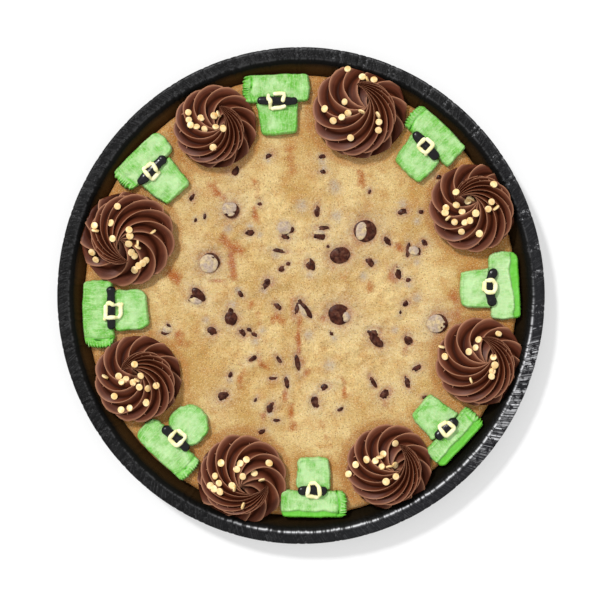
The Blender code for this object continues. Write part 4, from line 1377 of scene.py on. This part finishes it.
CROWNS = (
    StripLook(-0.3, -0.4, 0.5, 0.0, (2.2, 2.2), 0.0, 0.1, -0.55),
    StripLook(-0.6, 0.6, 0.3, 0.0, (2.4, 2.2), 0.0, 0.0, 0.0),
    StripLook(0.0, 0.2, 0.2, 0.0, (1.2, 1.2), 0.0, 0.1, 0.5),
    StripLook(0.3, 0.4, 0.2, 0.0, (1.8, 2.2), 0.0, 0.1, 0.15),
    StripLook(0.2, 0.3, 0.6, 0.0, (2.4, 2.4), 0.0, 0.1, 0.45),
    StripLook(0.9, 0.9, 2.2, 0.0, (7.5, 7.5), 0.0, 0.0, 0.1),
    StripLook(0.4, 0.5, 0.3, 0.0, (4.0, 4.0), 0.0, 0.0, -0.1),
    StripLook(0.3, 0.3, 0.2, 0.0, (2.2, 2.2), 0.0, 0.1, 0.1),
)
print("hats:", len(HATS))


# %% A strip's outline
STRIP_EDGE = 1.2 * MM  # how far in from its edge a strip is rounded
STRIP_FOOT = -0.4 * MM
LOW_EDGE = 0.30  # the height of a strip's edge, as a share of its thickness
LIP_IN = 1.2 * MM  # where the raised lip runs, from the edge
LIP_HALF = 0.55 * MM
LIP_RISE = 0.6 * MM
RIDGE_RISE = 0.13 * MM
RIDGE_WIDE = 0.9 * MM
RIDGE_LONG = 9 * MM
RUFFLE_APART = 1.9 * MM
RUFFLED_TO = 5.5 * MM  # how far in from the left end the strip is ruffled
SLIT_AT = 4.4 * MM  # where the ruffles break off the strip, from its left end
FOLD_WAVE = 1.4 * MM
TORN = 1.6  # the mark that gives a strip's upright sides a painted shade
HALF_SEAM = 0.1 * MM  # half the gap between a brim and its crown


def hat_axes(hat):
    """A hat's own axes: X to the right, Y to the rim, at its buckle."""
    turn = Matrix.Rotation(-math.radians(hat.angle + hat.turn), 4, "Z")
    place = polar(hat.angle, hat.reach * MM)
    place.z = COOKIE_TOP + 0.3 * MM
    return Matrix.Translation(place) @ turn


def corner_rounded(x, y, half_x, half_y, radius):
    """A point of a rectangle moved so that the rectangle's corner becomes round."""
    over_x, over_y = abs(x) - (half_x - radius), abs(y) - (half_y - radius)
    if over_x <= 0 or over_y <= 0 or radius <= 0:
        return x, y, min(half_x - abs(x), half_y - abs(y))
    a, b = over_x / radius, over_y / radius
    round_x = (half_x - radius) + radius * a * math.sqrt(1 - b * b / 2)
    round_y = (half_y - radius) + radius * b * math.sqrt(1 - a * a / 2)
    out = math.hypot(a * math.sqrt(1 - b * b / 2), b * math.sqrt(1 - a * a / 2))
    return math.copysign(round_x, x), math.copysign(round_y, y), radius * (1.0 - min(out, 1.0))


def strip_place(a, b, near, far, look):
    """Lays a grid point in a strip's outline: x, y, how far it is from the edge and from the left
    end, and its share of the way from the near side to the far one."""
    half_x = (near[1] - near[0] + far[1] - far[0]) / 4
    half_y = abs(far[2] - near[2]) / 2
    radius = look.corners[0 if a < 0 else 1] * MM
    x, y, edge = corner_rounded(a * half_x, b * half_y, half_x, half_y, radius)
    share_x, share_y = x / half_x, y / half_y
    across = (share_y + 1) / 2
    left = near[0] + (far[0] - near[0]) * across - look.left * MM * (1 - share_y ** 2)
    right = near[1] + (far[1] - near[1]) * across + look.right * MM * (1 - share_y ** 2)
    flat_x = left + (right - left) * (share_x + 1) / 2
    flat_y = near[2] + (far[2] - near[2]) * across
    swell = -look.inner * (1 - across) + look.outer * across
    flat_y += swell * MM * (1 - share_x ** 2)
    return flat_x, flat_y, edge, (share_x + 1) * half_x, across


# %% A strip's lip, ruffles, fold and drift
def strip_relief(here, edge, pillow, seed):
    """A strip's raised lip, fine ridges and slow lumps."""
    lip = 0.55 + 0.8 * wander(here, 4 * MM, seed + 2)
    rise = lip * LIP_RISE * math.exp(-(((edge - LIP_IN) / LIP_HALF) ** 2))
    ridges = noise.noise(Vector((here.x / RIDGE_WIDE, here.y / RIDGE_LONG, seed)))
    lumps = 0.6 * wander(here, 7 * MM, seed) + 0.25 * wander(here, 2.4 * MM, seed + 6)
    return rise + RIDGE_RISE * pillow * ridges + pillow * MM * lumps


def ruffled_end(here, from_left, pillow, ruffle, seed):
    """How far a point near the ruffled end moves out and up, and its deeper green and painted shade."""
    fray = 1.0 - ease(from_left + 1.5 * MM * wander(here, 4 * MM, seed), 0.0, RUFFLED_TO)
    teeth = math.sin(2 * math.pi * here.y / RUFFLE_APART + 5.0 * wander(here, 4.5 * MM, seed + 3))
    teeth *= 0.7 + 0.9 * wander(here, 3 * MM, seed + 7)
    out = ruffle * fray * (0.65 * teeth + 0.3) * MM
    pinch = math.exp(-(((from_left - 4.6 * MM) / (0.8 * MM)) ** 2))
    up = ruffle * (fray * 0.95 * teeth - pinch) * MM * pillow
    slit = math.exp(-(((from_left - SLIT_AT) / (0.6 * MM)) ** 2))
    # Painted shade in the gaps between the ruffles' teeth and in the slit where they break off
    torn = ruffle * slit * (1.0 + 2.4 * wander(here, 4 * MM, seed + 17))
    return out, up, max(fray * ruffle * (0.7 - 0.9 * teeth), torn)


def folded_side(here, line, pillow):
    """How far a point beyond the fold drops, and its share of the step down."""
    step = ease(here.y, line - 0.7 * MM, line + 0.7 * MM)
    ridge = 0.35 * math.exp(-(((here.y - line + 1.0 * MM) / (0.8 * MM)) ** 2))
    return (ridge - step) * pillow * MM, step


def strip_drift(here, edge, seed):
    """How far a point strays sideways, in mm: more near the edge, where the icing is loose."""
    loose = 1.0 - ease(edge, 0.0, 3 * MM)
    return Vector([
        0.4 * wander(here, 3.2 * MM, seed + turn) + 0.9 * wander(here, 9 * MM, seed + turn + 1)
        + 0.3 * loose * wander(here, 1.4 * MM, seed + turn + 2) for turn in (4, 8)
    ])


# %% Shape a strip of icing
def strip_point(a, b, near, far, look, seed, is_brim):
    """Places a grid point of a strip. near and far are (left, right, y) of its long sides, in m."""
    x, y, edge, from_left, across = strip_place(a, b, near, far, look)
    here = Vector((x, y, seed))
    pillow = math.sqrt(max(1.0 - (1.0 - min(edge / STRIP_EDGE, 1.0)) ** 2, 0.0))
    z = HAT_THICK * (LOW_EDGE + (1.0 - LOW_EDGE) * pillow) + strip_relief(here, edge, pillow, seed)
    # The mark holds the deeper green of folds and ruffles, and painted shade in their creases and gaps
    out, up, worn = ruffled_end(here, from_left, pillow, look.ruffle, seed)
    bruised = ease(wander(here, 5 * MM, seed + 13), 0.15, 0.5) * (1.0 - ease(edge, 0.0, 4 * MM))
    worn = max(worn, 0.5 * bruised)
    if look.fold:
        line = far[2] - look.fold * MM + FOLD_WAVE * wander(here, 9 * MM, seed + 1)
        drop, step = folded_side(here, line, pillow)
        z += drop
        worn = max(worn, step)
    drift = strip_drift(here, edge, seed)
    if is_brim:
        drift *= 1.0 - 0.6 * ease(across, 0.6, 0.95)
    dried = 0.5 * (ease(edge, 1.5 * MM, 6 * MM) - 0.5) + 0.5 * wander(here, 8 * MM, seed + 11)
    return Vector((x - out + drift.x * MM, y + drift.y * MM, z + up)), worn, look.frost + dried


def add_strip(bm, axes, near, far, look, seed, segments, is_brim):
    """Adds a strip of icing, closed underneath, in its hat's axes."""
    grid = bmesh.ops.create_grid(
        bm, x_segments=segments[0], y_segments=segments[1], size=1.0, calc_uvs=True,
    )["verts"]
    relief = bm.verts.layers.float.get("relief")
    frost = bm.verts.layers.float.get("frost")
    for vert in grid:
        placed = strip_point(vert.co.x, vert.co.y, near, far, look, seed, is_brim)
        vert.co, vert[relief], vert[frost] = placed
    made = bmesh.ops.extrude_edge_only(bm, edges=open_rim(bm))["geom"]
    for vert in [item for item in made if isinstance(item, bmesh.types.BMVert)]:
        vert.co.z = STRIP_FOOT
        # The upright sides get a painted shade
        vert[relief] = TORN
    bmesh.ops.holes_fill(bm, edges=open_rim(bm), sides=0)
    bmesh.ops.transform(bm, matrix=axes, verts=bm.verts)


# %% [markdown]
# Green icing dries with a whitish frost, in clouds and in fine specks, and stays a deeper green where
# it is folded, ruffled or bruised. Its creases, the gaps of its ruffles and its upright sides are given
# a painted shade, the darkest green. Its threads run the way that the bag was pulled. A strip's points
# carry the deeper green and the painted shade, since only its form knows where it was folded or
# creased, and noise breaks up their edges.

# %% The green icing's finish
def green_icing():
    made, tree, shader = new_finish(
        "green icing", Specular_IOR_Level=0.3, Subsurface_Weight=0.06, Subsurface_Scale=0.002,
    )
    place, piping = object_place(tree), uv_place(tree)
    lines = drag_lines(tree, piping, 46.0, 2.5)
    cloud = speckle(tree, place, 150.0, 4.0, 0.6)
    specks = speckle(tree, place, 900.0, 2.0, 0.6)
    fine = grain(tree, place, 1100.0, 0.4)
    frosted = maths(
        tree, "ADD", times(tree, painted(tree, "frost"), 0.5), ranged(tree, cloud, 0.3, 0.7),
    )
    green = mixed(tree, ranged(tree, frosted, 0.2, 0.95), tint(98, 174, 54), tint(176, 210, 150))
    green = mixed(tree, ranged(tree, lines, 0.45, 0.68, 0.0, 0.45), green, tint(190, 220, 160))
    green = mixed(tree, ranged(tree, specks, 0.52, 0.66, 0.0, 0.3), green, tint(200, 226, 178))
    patchy = ranged(tree, cloud, 0.3, 0.7, -0.15, 0.15)
    deep = maths(tree, "ADD", times(tree, painted(tree, "relief"), 0.9), patchy, clamp=True)
    green = mixed(tree, deep, green, tint(94, 184, 44))
    # Painted shade: marks over 1.2, in creases, ruffle gaps and down the sides, darken the green
    torn = ranged(tree, painted(tree, "relief"), 1.2, TORN)
    green = mixed(tree, torn, green, tint(36, 92, 10))
    tree.links.new(green, shader.inputs["Base Color"])
    tree.links.new(ranged(tree, fine, 0.2, 0.8, 0.42, 0.62), shader.inputs["Roughness"])
    bump(tree, shader, maths(tree, "ADD", lines, times(tree, fine, 0.5)), 0.5, 0.35 * MM)
    return made


# %% Lay the strips
GREEN = green_icing()
BRIM_GRID = (110, 48)
CROWN_GRID = (72, 60)
CROWN_SEEDS = 20  # so that no crown has a brim's lumps


def build_strips(number, hat, brim_look, crown_look):
    axes = hat_axes(hat)
    left, right = (side * MM for side in hat.brim)
    near, far = (left, right, HALF_SEAM), (left, right, hat.brim_depth * MM)
    brim = new_sheet()
    add_strip(brim, axes, near, far, brim_look, number, BRIM_GRID, True)
    new_piece(f"hat_brim_{number}", brim, GREEN, [f"brim_{number}"])
    near = (hat.crown_end[0] * MM, hat.crown_end[1] * MM, -hat.crown_length * MM)
    far = (hat.crown[0] * MM, hat.crown[1] * MM, -HALF_SEAM)
    crown = new_sheet()
    add_strip(crown, axes, near, far, crown_look, number + CROWN_SEEDS, CROWN_GRID, False)
    new_piece(f"hat_crown_{number}", crown, GREEN, [f"crown_{number}"])


for number, (hat, brim_look, crown_look) in enumerate(zip(HATS, BRIMS, CROWNS), start=1):
    build_strips(number, hat, brim_look, crown_look)


# %% [markdown]
# The dough is painted browner and warmer in a narrow seam beside every swirl and hat, a painted
# shade where they shelter it. Only now are all of them laid, so the seam is painted here.

# %% Paint shade on the dough beside the icing
SEAM_OUTSIDE_SWIRL = 3.0 * MM
SEAM_OUTSIDE_HAT = 2.5 * MM


def outside_strip(x, y, sides, low, high):
    """How far some places are outside a rectangle, in m; 0 inside it."""
    over_x = np.maximum(np.maximum(sides[0] * MM - x, x - sides[1] * MM), 0.0)
    over_y = np.maximum(np.maximum(low * MM - y, y - high * MM), 0.0)
    return np.hypot(over_x, over_y)


def paint_seams(mesh):
    places = mesh_places(mesh)
    seam = np.zeros(len(places))
    for swirl in SWIRLS:
        middle = polar(swirl.angle, swirl.reach * MM)
        away = np.hypot(places[:, 0] - middle.x, places[:, 1] - middle.y) - swirl.radius * MM
        seam = np.maximum(seam, 1.0 - smooth_step(away, 0.0, SEAM_OUTSIDE_SWIRL))
    for hat in HATS:
        to_hat = np.array(hat_axes(hat).inverted())
        own = places @ to_hat[:3, :3].T + to_hat[:3, 3]
        brim = outside_strip(own[:, 0], own[:, 1], hat.brim, 0.0, hat.brim_depth)
        crown = outside_strip(own[:, 0], own[:, 1], hat.crown, -hat.crown_length, 0.0)
        away = np.minimum(brim, crown)
        seam = np.maximum(seam, 0.8 * (1.0 - smooth_step(away, 0.0, SEAM_OUTSIDE_HAT)))
    paint(mesh, contact=seam)


paint_seams(cookie.data)


# %% [markdown]
# Bands and buckles are single piped lines from a small round nozzle: fat black sausages, and thin
# pale yellow strokes laid over them, with a knob where the nozzle stopped. Their routes are read
# from the photograph, in its pixels, and a smooth curve through them is what the tube follows.

# %% Where the bands and buckles run
HatTrim = collections.namedtuple("HatTrim", "band band_half strokes")
TRIMS = (
    HatTrim(
        ((257.1, 100.0), (263.2, 100.6), (277.8, 100.9), (288.7, 101.2), (297.6, 100.6)), 2.6,
        (
            ((268.5, 93.3), (268.3, 98.4), (270.3, 100.9), (270.1, 106.0), (270.8, 109.2)),
            ((272.9, 93.8), (279.7, 93.3), (285.8, 93.6)),
            ((285.4, 94.0), (283.4, 98.4), (282.7, 102.5)),
            ((286.1, 105.7), (280.4, 107.3), (274.0, 107.9), (270.8, 109.1)),
        ),
    ),
    HatTrim(
        ((414.2, 131.9), (418.4, 137.6), (425.4, 144.6), (432.4, 152.9), (437.8, 159.0)), 3.0,
        (
            ((425.6, 138.1), (432.7, 144.8), (425.7, 152.6), (418.4, 145.8), (425.6, 138.1)),
            ((425.7, 152.6), (426.1, 156.1)),
        ),
    ),
    HatTrim(
        (
            (495.9, 269.0), (493.1, 273.2), (490.8, 278.3), (489.9, 285.9), (490.3, 294.2),
            (491.8, 300.6), (493.1, 306.3),
        ),
        2.9,
        (
            (
                (484.8, 280.8), (492.1, 280.3), (495.3, 284.0), (495.2, 289.1), (493.1, 292.2),
                (487.6, 292.2), (484.5, 289.1), (484.8, 280.8),
            ),
            ((484.5, 289.4), (482.0, 289.2)),
            ((494.0, 282.4), (498.0, 284.0)),
        ),
    ),
    HatTrim(
        ((436.0, 438.6), (440.5, 434.1), (446.2, 428.4), (452.6, 423.3), (457.1, 419.1)), 3.1,
        (((447.0, 421.6), (453.9, 428.1), (446.1, 435.7), (439.5, 426.8), (447.0, 421.6)),),
    ),
    HatTrim(
        ((297.7, 491.0), (303.5, 490.7), (312.4, 490.4), (322.6, 491.0), (327.1, 492.0)), 2.9,
        (
            (
                (309.3, 484.0), (314.9, 483.4), (318.8, 487.2), (319.7, 494.2), (317.5, 497.4),
                (312.4, 496.6), (307.4, 495.5), (308.2, 490.4), (309.3, 484.0),
            ),
            ((307.4, 495.6), (306.0, 496.2)),
            ((317.6, 496.8), (318.4, 498.7)),
        ),
    ),
    HatTrim(
        ((163.0, 426.6), (168.5, 432.0), (176.7, 438.4), (183.8, 445.4), (188.5, 450.2)), 2.9,
        (((176.9, 429.8), (185.2, 437.1), (176.9, 445.4), (169.9, 438.4), (176.9, 429.8)),),
    ),
    HatTrim(
        ((110.9, 286.2), (111.0, 300.3), (111.2, 313.0), (111.3, 324.5), (111.3, 329.6)), 2.55,
        (
            (
                (105.8, 304.4), (109.6, 303.1), (114.1, 305.0), (120.0, 304.6), (120.4, 309.2),
                (120.4, 314.3), (118.1, 317.4), (111.6, 317.5), (105.8, 317.6), (105.7, 311.7),
                (105.8, 304.4),
            ),
            ((120.0, 304.6), (123.5, 304.2)),
            ((105.8, 317.6), (103.3, 320.2)),
        ),
    ),
    HatTrim(
        ((138.0, 183.5), (143.7, 178.8), (151.4, 170.5), (159.0, 162.8), (165.7, 156.8)), 2.9,
        (
            (
                (152.3, 162.5), (156.0, 169.5), (157.7, 173.0), (155.5, 175.9), (151.7, 179.1),
                (146.3, 173.0), (143.1, 169.5), (147.5, 166.0), (152.3, 162.5),
            ),
            ((157.1, 172.4), (160.4, 172.4)),
        ),
    ),
)
HAT_FACE = COOKIE_TOP + 0.3 * MM + HAT_THICK
BAND_RISE = 0.62  # a band's height, as a share of its width
BAND_MIDDLE = 0.62  # how high its middle lies over the hat, as a share of half its height
STROKE_HALF = 1.35 * MM
STROKE_RISE = 0.9
STROKE_AROUND = 14
STROKE_STEPS = 8  # along a stroke, for each of its points
STROKE_SEEDS = 0.37  # between the noise of one stroke and that of the next
BAND_LUMPY = 0.22  # how much a line swells and thins, as a share of its width
STROKE_LUMPY = 0.12
print("bands:", len(TRIMS), "strokes of buckles:", sum(len(trim.strokes) for trim in TRIMS))


# %% The route of a line
def smooth_route(points, steps=8):
    """A curve through some points, as many small steps."""
    route = []
    for i in range(len(points) - 1):
        before = points[max(i - 1, 0)]
        after = points[min(i + 2, len(points) - 1)]
        first = points[i] + (points[i + 1] - before) / 6
        second = points[i + 1] - (after - points[i]) / 6
        piece = interpolate_bezier(points[i], first, second, points[i + 1], steps + 1)
        route += piece if i == len(points) - 2 else piece[:-1]
    return route


def route_lengths(route):
    lengths = [0.0]
    for start, end in zip(route, route[1:]):
        lengths.append(lengths[-1] + (end - start).length)
    return lengths


def route_at(route, lengths, share):
    """The point and the heading at a share of a route's length."""
    goal = share * lengths[-1]
    index = 1
    while index < len(lengths) - 1 and lengths[index] < goal:
        index += 1
    part = (goal - lengths[index - 1]) / max(lengths[index] - lengths[index - 1], 1e-9)
    heading = (route[index] - route[index - 1]).normalized()
    return route[index - 1].lerp(route[index], part), heading


# %% Pipe a line
def pipe_line(bm, points, half, rise, seed, lumpy, around=20, along=56):
    """Adds a piped line with round ends. half is half its width, and rise times that half its height."""
    route = smooth_route(points)
    lengths = route_lengths(route)

    def place(share, length):
        even = (1.0 - math.cos(math.pi * length)) / 2
        spot, heading = route_at(route, lengths, even)
        from_end = min(even, 1.0 - even) * lengths[-1]
        closing = math.sqrt(max(1.0 - max(1.0 - from_end / half, 0.0) ** 2, 0.0))
        uneven = 1.0 + lumpy * wander(Vector((even * lengths[-1], 0.0, seed)), 4 * MM, seed)
        turn = 2 * math.pi * share
        side = Vector((-heading.y, heading.x, 0.0))
        reach = half * closing * uneven
        up = Vector((0.0, 0.0, 1.0))
        return spot + side * reach * math.cos(turn) + up * reach * rise * math.sin(turn)

    rolled(bm, around, along, place)


def with_middles(points):
    """The points of a stroke with one more between every two, so that it climbs over the band."""
    curve = smooth_route(points, 2)
    closer = points[:1]
    for i in range(len(points) - 1):
        straight = points[i].lerp(points[i + 1], 0.5)
        closer += [straight.lerp(curve[2 * i + 1], 0.6), points[i + 1]]
    return closer


def band_distance(points, spot):
    """How far a place is from a band's route, seen from above."""
    return min(math.hypot(spot.x - p.x, spot.y - p.y) for p in smooth_route(points))


# %% [markdown]
# The bands are black gel, wet and glossy. The buckles are the same stiff icing as the hats, tinted
# pale yellow, with a dull, slightly grainy skin. Black shows its form by its shine alone, so the gel's
# gloss is broken up by lines along the piping, where the buckles get by with soft blotches.

# %% Finishes of bands and buckles
def black_gel():
    made, tree, shader = new_finish("black icing", Specular_IOR_Level=0.32)
    place, piping = object_place(tree), uv_place(tree)
    lines = drag_lines(tree, piping, 14.0, 3.0)
    tree.links.new(mixed(tree, ranged(tree, lines, 0.35, 0.7), tint(5, 5, 6), tint(14, 14, 15)),
                   shader.inputs["Base Color"])
    tree.links.new(ranged(tree, speckle(tree, place, 500.0), 0.3, 0.7, 0.16, 0.34),
                   shader.inputs["Roughness"])
    bump(tree, shader, lines, 0.5, 0.35 * MM)
    return made


def pale_icing():
    made, tree, shader = new_finish("pale yellow icing", Specular_IOR_Level=0.4)
    place = object_place(tree)
    blotch = speckle(tree, place, 240.0, 3.0)
    pale = mixed(tree, ranged(tree, blotch, 0.35, 0.65), tint(244, 236, 170), tint(252, 249, 208))
    tree.links.new(pale, shader.inputs["Base Color"])
    tree.links.new(ranged(tree, blotch, 0.3, 0.7, 0.45, 0.6), shader.inputs["Roughness"])
    bump(tree, shader, grain(tree, place, 1300.0, 0.4), 0.35, 0.2 * MM)
    return made


# %% Pipe the bands and buckles
BLACK = black_gel()
PALE = pale_icing()


def build_trim(number, trim):
    half = trim.band_half * MM
    height = HAT_FACE + half * BAND_RISE * BAND_MIDDLE
    band_route = [seen_at(px, py, height) for px, py in trim.band]
    band = new_sheet()
    pipe_line(band, band_route, half, BAND_RISE, number, BAND_LUMPY)
    new_piece(f"hat_band_{number}", band, BLACK, [f"band_{number}"])
    buckle = new_sheet()
    reach = half + STROKE_HALF * 0.7
    lying = HAT_FACE + STROKE_HALF * 0.6
    climb = half * BAND_RISE * 1.5 + STROKE_HALF * 0.2
    for index, stroke in enumerate(trim.strokes):
        points = []
        for spot in with_middles([seen_at(px, py, lying + climb / 2) for px, py in stroke]):
            away = band_distance(band_route, spot)
            spot.z = lying + climb * math.sqrt(max(1.0 - (away / reach) ** 2, 0.0))
            points.append(spot)
        seed = number + index * STROKE_SEEDS
        pipe_line(buckle, points, STROKE_HALF, STROKE_RISE, seed, STROKE_LUMPY, STROKE_AROUND,
                  STROKE_STEPS * len(points))
    new_piece(f"hat_buckle_{number}", buckle, PALE, [f"buckle_{number}"])


for number, trim in enumerate(TRIMS, start=1):
    build_trim(number, trim)
